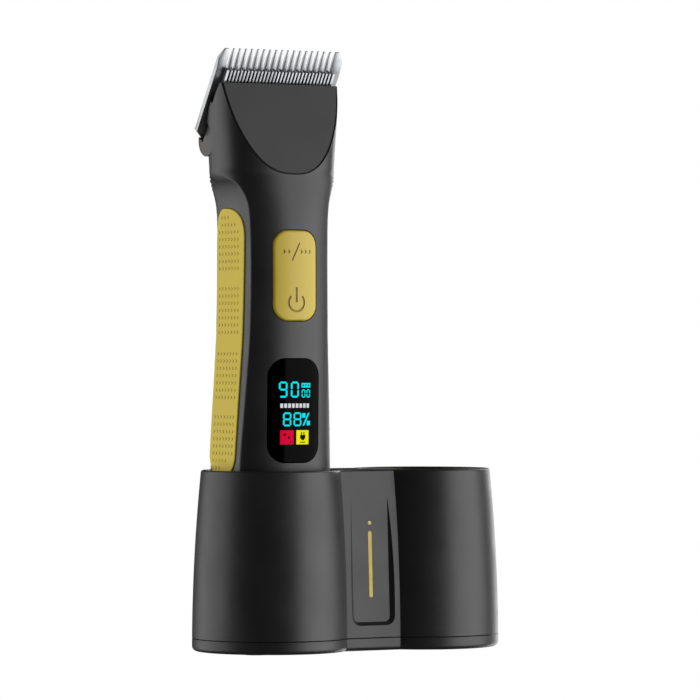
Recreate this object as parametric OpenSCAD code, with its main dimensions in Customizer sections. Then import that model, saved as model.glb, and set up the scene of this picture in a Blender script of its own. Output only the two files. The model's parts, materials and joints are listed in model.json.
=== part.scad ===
// Cordless body groomer with a detachable blade, standing in a twin-cup charging stand.
// Millimetres. +Z is up, the front faces -Y, and the origin is at the middle of the foot.

/* [Stand] */
// Distance between the axes of the two cups
cup_pitch = 62; // [60:1:80]
// Radius of a cup at its foot
cup_r = 28; // [28:0.5:36]
// How much smaller the radius is at the rim
cup_draft = 3.2; // [2:0.1:4]
// Height of the rim above the table
stand_h = 64.4; // [50:1:80]
// Distance from a cup's axis to where the web meets its wall
web_a = 20.1; // [19:0.1:21]
// Least clearance of the handpiece in its well
well_room = 1.4; // [1:0.1:1.6]
// Height of the well floor above the table
well_floor = 15; // [14:0.5:20]
// Thickness of the well floor
floor_t = 2; // [1.5:0.1:3]
// Wall of the stand's casing
stand_wall = 2.2; // [1.6:0.1:3]
// Height of the seam between casing and base
seam_h = 4.8; // [4:0.1:6]
// Depth of the panel pressed into the web, at its lower end
panel_depth = 1.3; // [0.8:0.1:1.6]
// Half the width of the panel's floor
panel_half_w = 7.4; // [6:0.1:8.5]
// Length of the indicator bar
bar_len = 23.6; // [16:0.2:28]
// Width of the indicator bar and dot
bar_w = 1.45; // [1:0.05:2]

/* [Handpiece] */
// Length of the casing, from its end cap to the top of the head
body_len = 185.9; // [180:0.1:230]
// Half the width between the side flats at the waist
waist_half_w = 15.6; // [15:0.1:17]
// Half the width of the round section that the flats are cut from
round_half_w = 24; // [23:0.1:25]
// Depth from the axis to the front at the waist
front_d = 16.5; // [16:0.1:18]
// Depth from the axis to the back at the foot
back_d = 16.8; // [16:0.1:17.5]
// Wall of the casing
body_wall = 2; // [1.6:0.1:2.4]
// Depth of the plane where front and back casing meet
part_line_y = 9; // [8:0.5:10]
// Lean of the flat face on the head
face_lean = 17.2; // [15:0.2:20]
// Thickness of the head cover
cover_t = 2.2; // [1.8:0.1:2.6]
// Width and height of the rocker key
key_size = [17.3, 31.8];
// Height of the rocker key's middle above the end cap
key_z = 118; // [112:1:124]
// Width and height of the display window
window_size = [20.6, 36.8];
// Height of the window's middle above the end cap
window_z = 70.5; // [68:0.5:76]
// How far the grips and the key stand proud
proud = 0.5; // [0.3:0.1:0.8]
// Depth of the grips' seats in the casing
grip_seat = 1; // [0.8:0.1:1.1]

/* [Drive] */
// Radius of the battery cell
cell_r = 9.1; // [8:0.1:9.2]
// Length of the battery cell
cell_len = 65; // [50:1:65]
// Radius of the motor
motor_r = 10; // [9:0.1:10.2]
// Length of the motor
motor_len = 30; // [24:1:32]
// Throw of the crank pin
throw = 0.45; // [0.3:0.05:0.5]
// Distance from the crank pin up to the lever's pivot
lower_arm = 10; // [9:0.5:12]

/* [Blade] */
// Width of the comb blade
comb_w = 50; // [46:0.5:52]
// Length of the comb blade along its face
comb_len = 36.5; // [36:0.1:38]
// Thickness of the comb blade
comb_t = 2; // [1.8:0.1:2.2]
// Distance between comb teeth
comb_pitch = 2.43; // [2.2:0.01:2.5]
// Length of the comb teeth's bevel
bevel_len = 7.6; // [6:0.1:8.5]
// Number of cutter teeth
cutter_teeth = 32; // [24:2:34]
// Distance between cutter teeth
cutter_pitch = 1.37; // [1.3:0.01:1.4]
// Thickness of the cutter
cutter_t = 2; // [1.6:0.1:2.2]
// Lean of the blade from the handpiece's axis
blade_lean = 34.4; // [30:0.2:38]

/* [Hidden] */

gap = 0.1;                 // between pieces of one body
slip = 0.3;                // between pieces of different bodies
run = 0.05;                // radial clearance of a turning fit
arc_n = 14;                // straight steps along each drafted wall
round_fn = 96;
hole_fn = 32;

foot_h = 0.3;              // how far the pads stand below the base
base_t = 2.4;              // the base's floor
edge_r = 1.8;              // rounding of the base's lower edge
lip_h = 2;                 // the base's locating lip
seat_gap = 0.1;            // between the handpiece and the well floor
pad_r = 5;
pad_at = [44, 13];
screw_r = 1.45;
screw_head_r = 2.6;
screw_seat = foot_h + 1.6;  // height of the screw heads' seats
boss_r = 3.2;
boss_y = 18.5;
board_t = 1.2;
board_z = 7.4;             // underside of the stand's board
board_half_y = 12;
post_at = [20, 9];
pin_r = 0.9;
pin_gap = 8;
pin_lift = 1.2;            // how far the pins stand above the well floor
inlet_w = 9;
inlet_h = 3.3;
inlet_z = 11;
panel_top = 55;
panel_bottom = 8.5;
bar_z = 30.9;
dot_z = 45.6;

// Casing sections: height share, then side flat, round half-width, front and back as shares of
// waist_half_w, round_half_w, front_d and back_d, and the exponent of the front's curve
sections = [
    [0, 1.128, 0.917, 1, 0.964, 2.2], [0.134, 1.167, 0.917, 1.02, 1, 2.2],
    [0.263, 1.18, 0.917, 1.04, 1, 2.2], [0.376, 1.115, 0.917, 1.065, 0.952, 2.2],
    [0.457, 1.058, 0.917, 1.08, 0.923, 2.2], [0.521, 1.019, 0.917, 1.09, 0.887, 2.2],
    [0.597, 1.003, 0.917, 1.1, 0.869, 2.2], [0.677, 1, 0.917, 1.095, 0.857, 2.2],
    [0.742, 1.019, 0.92, 1.075, 0.827, 2.25], [0.777, 1.077, 0.93, 1.05, 0.833, 2.35],
    [0.806, 1.237, 0.94, 1.025, 0.857, 2.5], [0.822, 1.397, 0.938, 1.012, 0.875, 2.6],
    [0.839, 1.54, 0.936, 1.006, 0.893, 2.65], [0.876, 1.7, 0.95, 1, 0.929, 2.7],
    [0.941, 1.8, 0.992, 1, 0.929, 2.7], [1.03, 1.9, 1.01, 1, 0.929, 2.7]];
back_power = 2.5;          // exponent of the back's curve
least_flat = 3;            // degrees of arc that the side flat always takes
comb_edge = 3.1;           // least distance from the last tooth's middle to the comb's side
comb_teeth = 2 * floor((comb_w / 2 - comb_edge) / comb_pitch) + 1;
arc_steps = 12;
head_top = body_len - 0.1;
face_top_y = -6.7;         // where the flat face ends at the head's top edge
tip_y = -8.3;
tip_z = body_len + 12;
hinge_yl = -5.5;           // the hinge axis, in the blade's frame
hinge_zl = -34.8;
hinge_y = tip_y + hinge_yl * cos(blade_lean) - hinge_zl * sin(blade_lean);
hinge_z = tip_z + hinge_yl * sin(blade_lean) + hinge_zl * cos(blade_lean);
heel_r = 5.8;
heel_half_w = 22.4;
seat_yl = -3;              // the casing's edge beside the blade, in the blade's frame
cap_h = 2;                 // visible part of the end cap
cap_plug = 6;
contact_r = 2.2;
drive_y = 1;               // depth of the battery's and motor's axis
cell_z = cap_h + cap_plug + 6.5;
motor_top = body_len - 63.5;
frame_t = 3;
crank_z = motor_top + frame_t + 9;
crank_pin_r = 1.25;
pivot_z = crank_z + lower_arm;
pivot_r = 2;
fork_half = crank_pin_r + 2 * throw + 0.25;
drive_zl = -17;            // where the lever's finger meets the cutter, in the blade's frame
finger_y = tip_y - 3.3 * cos(blade_lean) - drive_zl * sin(blade_lean);
finger_z = tip_z - 3.3 * sin(blade_lean) + drive_zl * cos(blade_lean);
finger_half = 2.2;
main_y = -11;              // front of the main board
main_half_w = 9.5;
main_z = [24, key_z + 19];
key_pivot_y = -12.6;
key_gap = 0.35;
boss_main_z = [34, 96];    // standoffs of the main board
latch_z = body_len - 35.9; // lower end of the latch button
latch_half_w = 6;
latch_h = 9;
latch_travel = 2.5;
cutter_top = -6.8;         // cutter tips, in the blade's frame
cutter_low = -18.6;
spring_zl = [-27, -20.6];
screw_zl = -23.8;
hinge_pin_r = 1.25;
guide_t = 0.6;             // thickness of the pads on the cutter's back
leg_t = 0.35;              // thickness of the spring's legs
spring_x = 11;             // distance of the legs from the middle
tongue_top = -28;

/* ---- shared shapes ---- */

function cup_radius(z) = cup_r - cup_draft * pow(z / stand_h, 2);
function web_front(z) = sqrt(pow(cup_radius(z), 2) - web_a * web_a);

// Straight steps from a to b
function steps(a, b, n) = [for (i = [0:n]) a + (b - a) * i / n];

module along_x(length) {
    rotate([90, 0, 90]) linear_extrude(length, center = true) children();
}

// Drafted stand body between two heights, with its walls drawn in by inset
module stand_body(z0, z1, inset, edge = 0) {
    wall = [for (z = steps(z0 + edge, z1, arc_n)) z];
    turn = [for (a = [-90:15:-15]) [edge * cos(a), z0 + edge + edge * sin(a)]];
    for (side = [-1, 1]) translate([side * cup_pitch / 2, 0, 0])
        rotate_extrude($fn = round_fn)
            polygon(concat([[0, z0]],
                edge > 0 ? [for (p = turn) [cup_radius(p[1]) - inset - edge + p[0], p[1]]] : [],
                [for (z = wall) [cup_radius(z) - inset, z]], [[0, z1]]));
    along_x(cup_pitch)
        polygon(concat([for (z = wall) [-web_front(z) + inset, z]],
            [for (i = [arc_n:-1:0]) [web_front(wall[i]) - inset, wall[i]]],
            edge > 0 ? [[web_front(z0) - inset - edge, z0], [-web_front(z0) + inset + edge, z0]] : []));
}

module at_cups() {
    for (side = [-1, 1]) translate([side * cup_pitch / 2, 0, 0]) children();
}

module at_bosses() {
    at_cups() for (side = [-1, 1]) translate([0, side * boss_y, 0]) children();
}

// Slot with round ends, w wide and h high in all, centred, lying in XZ and length deep along Y
module slot_y(w, h, length) {
    r = min(w, h) / 2;
    rotate([90, 0, 0]) {
        if (w > h) {
            cube([w - 2 * r, h, length], center = true);
            for (s = [-1, 1]) translate([s * (w / 2 - r), 0, 0])
                cylinder(r = r, h = length, center = true, $fn = hole_fn);
        } else {
            cube([w, h - 2 * r, length], center = true);
            for (s = [-1, 1]) translate([0, s * (h / 2 - r), 0])
                cylinder(r = r, h = length, center = true, $fn = hole_fn);
        }
    }
}

// Frame of the panel in the web: origin on the web's front at the panel's top, Z up along its floor
panel_tilt = atan((web_front(panel_bottom) - panel_depth - web_front(panel_top))
    / (panel_top - panel_bottom));
module panel_frame() {
    translate([0, -web_front(panel_top), panel_top]) rotate([-panel_tilt, 0, 0]) children();
}
function panel_zl(z) = (z - panel_top) / cos(panel_tilt);

module panel_cut() {
    reach = 6;
    length = (panel_top - panel_bottom) / cos(panel_tilt);
    panel_frame() intersection() {
        translate([0, 0, -length]) linear_extrude(length + 4)
            polygon([[-panel_half_w, 0], [panel_half_w, 0],
                [panel_half_w + reach, -reach], [-panel_half_w - reach, -reach]]);
        along_x(60) polygon([[0, -length + 2], [0, 4], [-reach, 4], [-reach, -length + 2 - reach]]);
    }
}

/* ---- stand ---- */

module stand_casing() {
    top_z = well_floor - floor_t;
    color([0.16, 0.16, 0.17]) {
        difference() {
            stand_body(seam_h + gap, stand_h, 0);
            at_cups() translate([0, 0, well_floor])
                cylinder(r = well_r, h = stand_h, $fn = round_fn);
            // room for the board under the floors
            at_cups() translate([0, 0, -1])
                cylinder(r = cup_r - stand_wall - 0.3, h = top_z + 1, $fn = round_fn);
            translate([0, 0, top_z / 2 - 0.5])
                cube([cup_pitch, 2 * (web_front(top_z) - stand_wall), top_z + 1], center = true);
            // hollow of the web
            difference() {
                stand_web_core(top_z - 1, stand_h - stand_wall);
                at_cups() cylinder(r = well_r + 1.8, h = stand_h, $fn = round_fn);
            }
            panel_cut();
            at_cups() pin_holes(top_z - 1, well_floor + 1);
            bar_shape(gap);
            dot_shape(gap);
            translate([0, web_front(inlet_z), inlet_z]) slot_y(inlet_w + 0.3, inlet_h + 0.3, 12);
        }
        at_bosses() difference() {
            translate([0, 0, seam_h + gap]) cylinder(r = boss_r, h = top_z - seam_h, $fn = hole_fn);
            translate([0, 0, 0]) cylinder(r = screw_r + run, h = top_z - 1, $fn = hole_fn);
        }
    }
}

module stand_web_core(z0, z1) {
    wall = steps(z0, z1, 6);
    along_x(cup_pitch - 6)
        polygon(concat([for (z = wall) [-web_front(z) + stand_wall, z]],
            [for (i = [6:-1:0]) [web_front(wall[i]) - stand_wall, wall[i]]]));
}

module pin_holes(z0, z1) {
    for (s = [-1, 1]) translate([s * pin_gap / 2, 0, z0])
        cylinder(r = pin_r + 0.15, h = z1 - z0, $fn = hole_fn);
}

module stand_base() {
    lip = stand_wall + 0.6;
    color([0.16, 0.16, 0.17]) difference() {
        union() {
            stand_body(foot_h, seam_h, 0, edge_r);
            // lip that locates the casing
            at_cups() translate([0, 0, foot_h])
                cylinder(r = cup_r - lip, h = seam_h + lip_h - foot_h, $fn = round_fn);
        }
        difference() {
            union() {
                at_cups() translate([0, 0, foot_h + base_t])
                    cylinder(r = cup_r - lip - 1.4, h = 20, $fn = round_fn);
                translate([0, 0, foot_h + base_t + 10])
                    cube([cup_pitch - 20, 2 * (web_front(0) - lip - 1.4), 20], center = true);
            }
            // posts that carry the board
            at_posts() cylinder(r = 2.4, h = board_z, $fn = hole_fn);
        }
        at_bosses() {
            translate([0, 0, -1]) cylinder(r = screw_r + 0.25, h = 20, $fn = hole_fn);
            translate([0, 0, -1]) cylinder(r = screw_head_r + 0.3, h = screw_seat + 1, $fn = hole_fn);
            translate([0, 0, seam_h]) cylinder(r = boss_r + 0.4, h = 20, $fn = hole_fn);
        }
        at_pads() cylinder(r = pad_r + gap, h = foot_h + 0.7, $fn = hole_fn);
    }
    color([0.16, 0.16, 0.17]) at_posts() translate([0, 0, seam_h])
        cylinder(r = 2.4, h = board_z - seam_h, $fn = hole_fn);
}

module at_posts() {
    for (side = [-1, 1], end = [-1, 1]) translate([side * post_at[0], end * post_at[1], 0])
        children();
}

module at_pads() {
    for (side = [-1, 1], end = [-1, 1]) translate([side * pad_at[0], end * pad_at[1], 0]) children();
}

module foot_pads() {
    color([0.05, 0.05, 0.05]) at_pads() cylinder(r = pad_r, h = foot_h + 0.7, $fn = 48);
}

module base_screws() {
    color("silver") at_bosses() translate([0, 0, screw_seat]) {
        difference() {
            translate([0, 0, -1.3]) cylinder(r = screw_head_r, h = 1.3, $fn = hole_fn);
            translate([0, 0, -1.4]) cylinder(r = 1.3, h = 0.8, $fn = 6);
        }
        cylinder(r = screw_r, h = 8.5, $fn = hole_fn);
    }
}

module stand_board() {
    color([0.1, 0.35, 0.2]) difference() {
        union() {
            translate([-40, -board_half_y, board_z]) cube([80, 2 * board_half_y, board_t]);
            translate([-7, 0, board_z]) cube([14, 14.8, board_t]);
        }
        translate([-5.8, -board_half_y - 1, board_z - 1]) cube([11.6, 4, board_t + 2]);
    }
}

// One charging pin, standing up through the well floor
module charging_pin() {
    collar_z = board_z + board_t + 2.3;
    translate([0, 0, collar_z]) cylinder(r = pin_r + 0.5, h = 1, $fn = hole_fn);
    translate([0, 0, collar_z]) cylinder(r = pin_r, h = well_floor + pin_lift - 0.5 - collar_z,
        $fn = hole_fn);
    translate([0, 0, well_floor + pin_lift - 0.5]) cylinder(r1 = pin_r, r2 = pin_r - 0.4, h = 0.5,
        $fn = hole_fn);
}

module pin_pair(side) {
    color("gold") for (s = [-1, 1])
        translate([side * cup_pitch / 2 + s * pin_gap / 2, 0, 0]) charging_pin();
}

module clipper_pins() { pin_pair(-1); }
module spare_pins() { pin_pair(1); }

module pin_blocks() {
    block_z = board_z + board_t;
    block_h = well_floor - floor_t - gap - block_z;
    color([0.2, 0.2, 0.2]) at_cups() difference() {
        translate([-pin_gap / 2 - 3.5, -3.5, block_z]) cube([pin_gap + 7, 7, block_h]);
        for (s = [-1, 1]) translate([s * pin_gap / 2, 0, block_z + 1])
            cylinder(r = pin_r + 0.8, h = 2.6, $fn = hole_fn);
        pin_holes(block_z + 3, block_z + 9);
    }
}

module power_inlet() {
    back = web_front(inlet_z);
    mid_y = back - 5.2;
    color("silver") {
        difference() {
            translate([0, mid_y, inlet_z]) slot_y(inlet_w, inlet_h, 10);
            translate([0, mid_y + 1, inlet_z]) slot_y(inlet_w - 0.8, inlet_h - 0.8, 10);
        }
        translate([-3.3, mid_y - 4.2, inlet_z - 0.35]) cube([6.6, 8, 0.7]);
        for (s = [-1, 1]) translate([s * 2.6 - 0.5, mid_y - 5, board_z + board_t])
            cube([1, 4, inlet_z - inlet_h / 2 - board_z - board_t + 0.2]);
    }
}

module bar_shape(clear) {
    panel_frame() translate([-bar_w / 2 - clear, -4, panel_zl(bar_z) - bar_len / 2 - clear])
        cube([bar_w + 2 * clear, 4 + 2.6 + clear, bar_len + 2 * clear]);
}

module dot_shape(clear) {
    panel_frame() translate([0, 2.6 + clear, panel_zl(dot_z)]) rotate([90, 0, 0])
        cylinder(r = bar_w / 2 + clear, h = 6.6, $fn = hole_fn);
}

// Cuts a light pipe flush with the panel's floor
module at_panel_floor() {
    intersection() {
        children();
        panel_frame() translate([-20, 0, -60]) cube([40, 20, 80]);
    }
}

module indicator_bar() { color([0.9, 0.78, 0.2]) at_panel_floor() bar_shape(0); }
module indicator_dot() { color([0.9, 0.78, 0.2]) at_panel_floor() dot_shape(0); }

module indicator_board() {
    front = -web_front(bar_z) + 5.8;
    foot = board_z + board_t;
    color([0.1, 0.35, 0.2]) translate([-5, front, foot]) cube([10, board_t, 41]);
    color("white") for (z = [bar_z - 8, bar_z, bar_z + 8, dot_z])
        translate([-1.6, front - 1, z - 0.8]) cube([3.2, 1, 1.6]);
}

/* ---- handpiece: casing ---- */

module handpiece() {
    translate([-cup_pitch / 2, 0, well_floor + seat_gap]) children();
}

function segment(s, i = 0) = (i >= len(sections) - 2 || s < sections[i + 1][0]) ? i : segment(s, i + 1);
function slope(i) = let (a = sections[max(i - 1, 0)], b = sections[min(i + 1, len(sections) - 1)])
    (b - a) / (b[0] - a[0]);

// Smooth row of the sections table at a share of the casing's height
function section_at(s) = let (i = segment(s), a = sections[i], b = sections[i + 1],
    h = b[0] - a[0], t = (s - a[0]) / h)
    (2 * pow(t, 3) - 3 * t * t + 1) * a + (pow(t, 3) - 2 * t * t + t) * h * slope(i)
    + (3 * t * t - 2 * pow(t, 3)) * b + (pow(t, 3) - t * t) * h * slope(i + 1);

function rounded(v, n) = sign(v) * pow(abs(v), 2 / n);

// One section of the casing, counter-clockwise from above, drawn in by inset
function ring(z, inset) = let (q = section_at(z / body_len), flat = q[1] * waist_half_w - inset,
    wide = q[2] * round_half_w - inset, front = q[3] * front_d - inset, back = q[4] * back_d - inset)
    [for (half = [0, 180], i = [0:arc_steps]) let (n = half == 0 ? back_power : q[5],
        cut = flat < wide ? acos(pow(flat / wide, n / 2)) : 0, t0 = max(cut, least_flat),
        t = half + t0 + (180 - 2 * t0) * i / arc_steps)
        [wide * rounded(cos(t), n), (half == 0 ? back : front) * rounded(sin(t), n), z]];

// Radius of the wells, from the widest section that stands in them
in_well = [for (z = steps(cap_h, stand_h - well_floor, 12)) each ring(z, 0)];
well_r = max([for (p = in_well) norm([p[0], p[1]])]) + well_room;

module skin(inset, heights) {
    n = 2 * (arc_steps + 1);
    last = (len(heights) - 1) * n;
    polyhedron([for (z = heights) each ring(z, inset)],
        concat([[for (i = [0:n - 1]) i]], [[for (i = [n - 1:-1:0]) last + i]],
            [for (k = [0:n:last - n], i = [0:n - 1]) each [[k + i, k + n + i, k + n + (i + 1) % n],
                [k + i, k + n + (i + 1) % n, k + (i + 1) % n]]]), convexity = 6);
}

// Heights of the rings between two heights of the casing
ring_gap = 9;
function heights(z0, z1) = steps(z0, z1, ceil((z1 - z0) / ring_gap));
grip_z = [46.2, 141.8];
grip_r = [9.5, 10];        // radii of its lower and upper ends
grip_back = [11.4, 10.3];  // depth of its back edge at those ends
grip_heights = heights(grip_z[0] - 4, grip_z[1] + 4);

module face_frame() {
    translate([0, face_top_y, head_top]) rotate([-face_lean, 0, 0]) children();
}

// All that lies before the plane d behind the head's flat face
module before_face(d) {
    face_frame() translate([-50, d - 100, -90]) cube([100, 100, 130]);
}

cover_low = body_len - 33;
module cover_space(depth, clear) {
    before_face(0);
    intersection() {
        before_face(depth + clear);
        translate([-50, -50, cover_low - clear]) cube([100, 100, 60]);
    }
}

module blade_frame() {
    translate([0, tip_y, tip_z]) rotate([blade_lean, 0, 0]) children();
}

module heel_space(wall) {
    translate([0, hinge_y, hinge_z]) rotate([0, 90, 0])
        cylinder(r = heel_r + slip + wall, h = 60, center = true, $fn = round_fn);
}

// Room for the blade on the head, grown by wall on its inner side
module blade_space(wall) {
    blade_frame() {
        translate([-40, seat_yl - wall, hinge_zl - heel_r - slip]) cube([80, 60, 80]);
        translate([-40, seat_yl - 1.6 - wall, cutter_low - 1.6 - wall]) cube([80, 60, 60]);
    }
    heel_space(wall);
}

// Opening for the lever, and above it the way that the spring's legs take as the blade slides off
recess_half_w = 19;
module drive_opening() {
    blade_frame() {
        translate([-recess_half_w, -7.6, -31]) cube([2 * recess_half_w, 60, 16.6]);
        leg_way();
    }
}

module leg_way() {
    translate([-recess_half_w, -comb_t - cutter_t - 1.3, -31]) cube([2 * recess_half_w, 60, 60]);
}

// Outline of a grip seen from the side, as points in Y and Z, grown by clear
function arc(c, r, a0, a1, n) = [for (i = [0:n]) let (a = a0 + (a1 - a0) * i / n)
    [c[0] + r * cos(a), c[1] + r * sin(a)]];
module grip_outline(clear) {
    low = [grip_back[0] - grip_r[0], grip_z[0] + grip_r[0] - 0.2];
    high = [grip_back[1] - grip_r[1], grip_z[1] - grip_r[1] + 0.2];
    polygon(concat(arc(low, grip_r[0] + clear, 180, 360, 10), arc(high, grip_r[1] + clear, 0, 180, 10)));
}

module grip_prism(side, clear) {
    translate([side * 24, 0, 0]) along_x(26) grip_outline(clear);
}

module shell_solid() {
    difference() {
        skin(0, heights(cap_h + gap, head_top));
        cover_space(cover_t, gap);
        blade_space(0);
        for (side = [-1, 1]) difference() {
            grip_prism(side, gap);
            skin(grip_seat, grip_heights);
        }
    }
}

module hollow() {
    difference() {
        skin(body_wall, heights(cap_h - 1, head_top - 2));
        cover_space(cover_t, 1.6);
        blade_space(1.8);
        // block that carries the latch
        translate([-8, part_line_y + 2, latch_z - 4]) cube([16, 20, 30]);
    }
}

module side_of_line(front) {
    translate([-60, front ? part_line_y - 100 : part_line_y + gap / 2, -20])
        cube([120, 100 - (front ? gap / 2 : 0), 260]);
}

screw_at = [[11.9, 84.5], [12.5, latch_z - 2]];
module at_casing_screws() {
    for (p = screw_at, s = [-1, 1]) translate([s * p[0], part_line_y, p[1]]) rotate([-90, 0, 0])
        children();
}

ear_at = [9, 12];
module hinge_ears() {
    for (s = [-1, 1]) translate([s * (ear_at[0] + ear_at[1]) / 2, hinge_y, hinge_z])
        rotate([blade_lean, 0, 0]) difference() {
            union() {
                rotate([0, 90, 0]) cylinder(r = 2.3, h = 3, center = true, $fn = hole_fn);
                translate([-1.5, -heel_r - 1, -2.3]) cube([3, heel_r + 1, 4.6]);
            }
            rotate([0, 90, 0]) cylinder(r = hinge_pin_r + run, h = 9, center = true, $fn = hole_fn);
        }
}

module front_casing() {
    ear_y = key_pivot_y;
    color([0.14, 0.14, 0.15]) handpiece() {
        difference() {
            intersection() { shell_solid(); side_of_line(true); }
            difference() {
                hollow();
                // screw posts, board standoffs and the key's ears
                at_casing_screws() translate([0, 0, -40]) cylinder(r = 2.1, h = 60, $fn = hole_fn);
                for (s = [-1, 1], z = boss_main_z) translate([s * 7, 0, z]) rotate([90, 0, 0])
                    translate([0, 0, -main_y]) cylinder(r = 1.8, h = 10, $fn = hole_fn);
                for (s = [-1, 1]) translate([s * (key_size[0] / 2 + 1) - 0.75, ear_y - 6, key_z - 1.6])
                    cube([1.5, 7.2, 3.2]);
            }
            drive_opening();
            rounded_slab(window_size, 6.5, gap, window_z);
            rounded_slab(key_size, 5.5, key_gap, key_z);
            translate([0, key_pivot_y, key_z]) rotate([0, 90, 0])
                cylinder(r = 0.8 + run, h = key_size[0] + 3.4, center = true, $fn = hole_fn);
            at_casing_screws() translate([0, 0, -8]) cylinder(r = 1.05, h = 20, $fn = hole_fn);
        }
        hinge_ears();
    }
}

// Plate with round corners, standing in XZ and cut through the casing's front wall
module rounded_slab(size, r, clear, z) {
    w = size[0] / 2 + clear - r;
    h = size[1] / 2 + clear - r;
    translate([0, -12.5, z]) rotate([90, 0, 0]) {
        translate([-w - r, -h, 0]) cube([2 * (w + r), 2 * h, 10]);
        translate([-w, -h - r, 0]) cube([2 * w, 2 * (h + r), 10]);
        for (s = [-1, 1], e = [-1, 1]) translate([s * w, e * h, 0])
            cylinder(r = r, h = 10, $fn = 64);
    }
}

latch_slot = [5, 7.5];
module back_casing() {
    latch_seat_y = 13.2;
    color([0.14, 0.14, 0.15]) handpiece() difference() {
        intersection() { shell_solid(); side_of_line(false); }
        difference() {
            hollow();
            at_casing_screws() cylinder(r = 3.2, h = 10, $fn = hole_fn);
        }
        at_casing_screws() {
            translate([0, 0, -1]) cylinder(r = 1.15, h = 20, $fn = hole_fn);
            translate([0, 0, 2.2]) cylinder(r = 2.2, h = 20, $fn = hole_fn);
        }
        // recess and slot of the latch
        translate([-latch_half_w - slip, latch_seat_y, latch_z - slip])
            cube([2 * (latch_half_w + slip), 20, latch_h + latch_travel + 2 * slip]);
        translate([-latch_slot[0] / 2, 0, latch_z + 1]) cube([latch_slot[0], 20, latch_slot[1]]);
        drive_opening();
    }
}

module head_cover() {
    color([0.15, 0.15, 0.16]) handpiece() difference() {
        intersection() {
            skin(0, heights(cover_low, head_top));
            before_face(cover_t);
        }
        before_face(0);
        blade_space(0);
        blade_frame() leg_way();
    }
}

module grip(side) {
    color([0.78, 0.7, 0.3]) handpiece() intersection() {
        difference() {
            skin(-proud, grip_heights);
            skin(grip_seat - gap, grip_heights);
        }
        grip_prism(side, 0);
    }
}

module grip_left() { grip(-1); }
module grip_right() { grip(1); }

module end_cap() {
    color([0.12, 0.12, 0.12]) handpiece() difference() {
        union() {
            skin(0, heights(0, cap_h));
            skin(body_wall + gap, heights(cap_h, cap_h + cap_plug));
        }
        for (s = [-1, 1]) translate([s * pin_gap / 2, 0, 0]) {
            translate([0, 0, -1]) cylinder(r = contact_r - 0.4, h = 6, $fn = hole_fn);
            translate([0, 0, 1.4]) cylinder(r = contact_r + gap, h = 2, $fn = hole_fn);
            translate([0, 0, 3]) cylinder(r = 0.9, h = 20, $fn = hole_fn);
        }
        translate([-8, -8, cap_h + 2.5]) cube([16, 16, 20]);
    }
}

module charge_contacts() {
    color("gold") handpiece() for (s = [-1, 1]) translate([s * pin_gap / 2, 0, 0]) {
        translate([0, 0, 1.5]) cylinder(r = contact_r, h = 1.5, $fn = hole_fn);
        translate([0, 0, 3]) cylinder(r = 0.8, h = cell_z - 5, $fn = hole_fn);
    }
}

module casing_screws() {
    color("silver") handpiece() at_casing_screws() {
        translate([0, 0, 2.3]) difference() {
            cylinder(r = 2, h = 1.5, $fn = hole_fn);
            translate([0, 0, 0.8]) cylinder(r = 0.9, h = 2, $fn = 6);
        }
        translate([0, 0, -7.5]) cylinder(r = 1, h = 9.9, $fn = hole_fn);
    }
}

module display_window() {
    color([0.03, 0.03, 0.04]) handpiece() intersection() {
        skin(0, heights(window_z - 25, window_z + 25));
        rounded_slab(window_size, 6.5, 0, window_z);
        translate([-20, -40, 0]) cube([40, 40 - 13.6, 200]);
    }
}

module display_panel() {
    color([0.1, 0.3, 0.35]) handpiece()
        translate([-8.6, main_y - 2, window_z - 15]) cube([17.2, 2, 30]);
}

module main_board() {
    color([0.1, 0.35, 0.2]) handpiece() difference() {
        translate([-main_half_w, main_y, main_z[0]])
            cube([2 * main_half_w, board_t, main_z[1] - main_z[0]]);
        for (s = [-1, 1], z = boss_main_z) translate([s * 7, main_y + 2, z]) rotate([90, 0, 0])
            cylinder(r = 0.9, h = 4, $fn = hole_fn);
    }
}

module key_switches() {
    color("dimgray") handpiece() for (s = [-1, 1]) translate([0, main_y, key_z + s * 9]) {
        translate([-3, -1.2, -3]) cube([6, 1.2, 6]);
        rotate([90, 0, 0]) cylinder(r = 1.5, h = 1.7, $fn = hole_fn);
    }
}

module rocker_key() {
    hub = [2 * (key_size[0] / 2 - 0.5), 3.4];
    color([0.8, 0.72, 0.3]) handpiece() difference() {
        union() {
            intersection() {
                skin(-proud, heights(key_z - 20, key_z + 20));
                rounded_slab(key_size, 5.5, 0, key_z);
                translate([-20, -40, 0]) cube([40, 40 - 13.7, 200]);
            }
            translate([-hub[0] / 2, key_pivot_y - 2, key_z - hub[1] / 2])
                cube([hub[0], 3.2, hub[1]]);
        }
        translate([0, key_pivot_y, key_z]) rotate([0, 90, 0])
            cylinder(r = 0.8 + run, h = 30, center = true, $fn = hole_fn);
    }
}

module key_pin() {
    color("silver") handpiece() translate([0, key_pivot_y, key_z]) rotate([0, 90, 0])
        cylinder(r = 0.8, h = key_size[0] + 3.2, center = true, $fn = hole_fn);
}

/* ---- handpiece: battery and drive ---- */

module battery_cell() {
    color([0.2, 0.35, 0.6]) handpiece() translate([0, drive_y, cell_z]) {
        cylinder(r = cell_r, h = cell_len, $fn = 64);
        translate([0, 0, cell_len]) cylinder(r = 2.8, h = 0.8, $fn = hole_fn);
    }
}

module battery_cradle() {
    ring_h = 10;
    color([0.2, 0.2, 0.2]) handpiece() for (z = [cell_z - 2, cell_z + cell_len - ring_h + 2])
        difference() {
            union() {
                translate([0, drive_y, z]) cylinder(r = cell_r + 1.2, h = ring_h, $fn = 64);
                intersection() {
                    translate([-30, drive_y - 1, z]) cube([60, 2, ring_h]);
                    skin(body_wall + gap, heights(z - 1, z + ring_h + 1));
                }
            }
            translate([0, drive_y, z - 1]) cylinder(r = cell_r + run, h = ring_h + 2, $fn = 64);
        }
}

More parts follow.
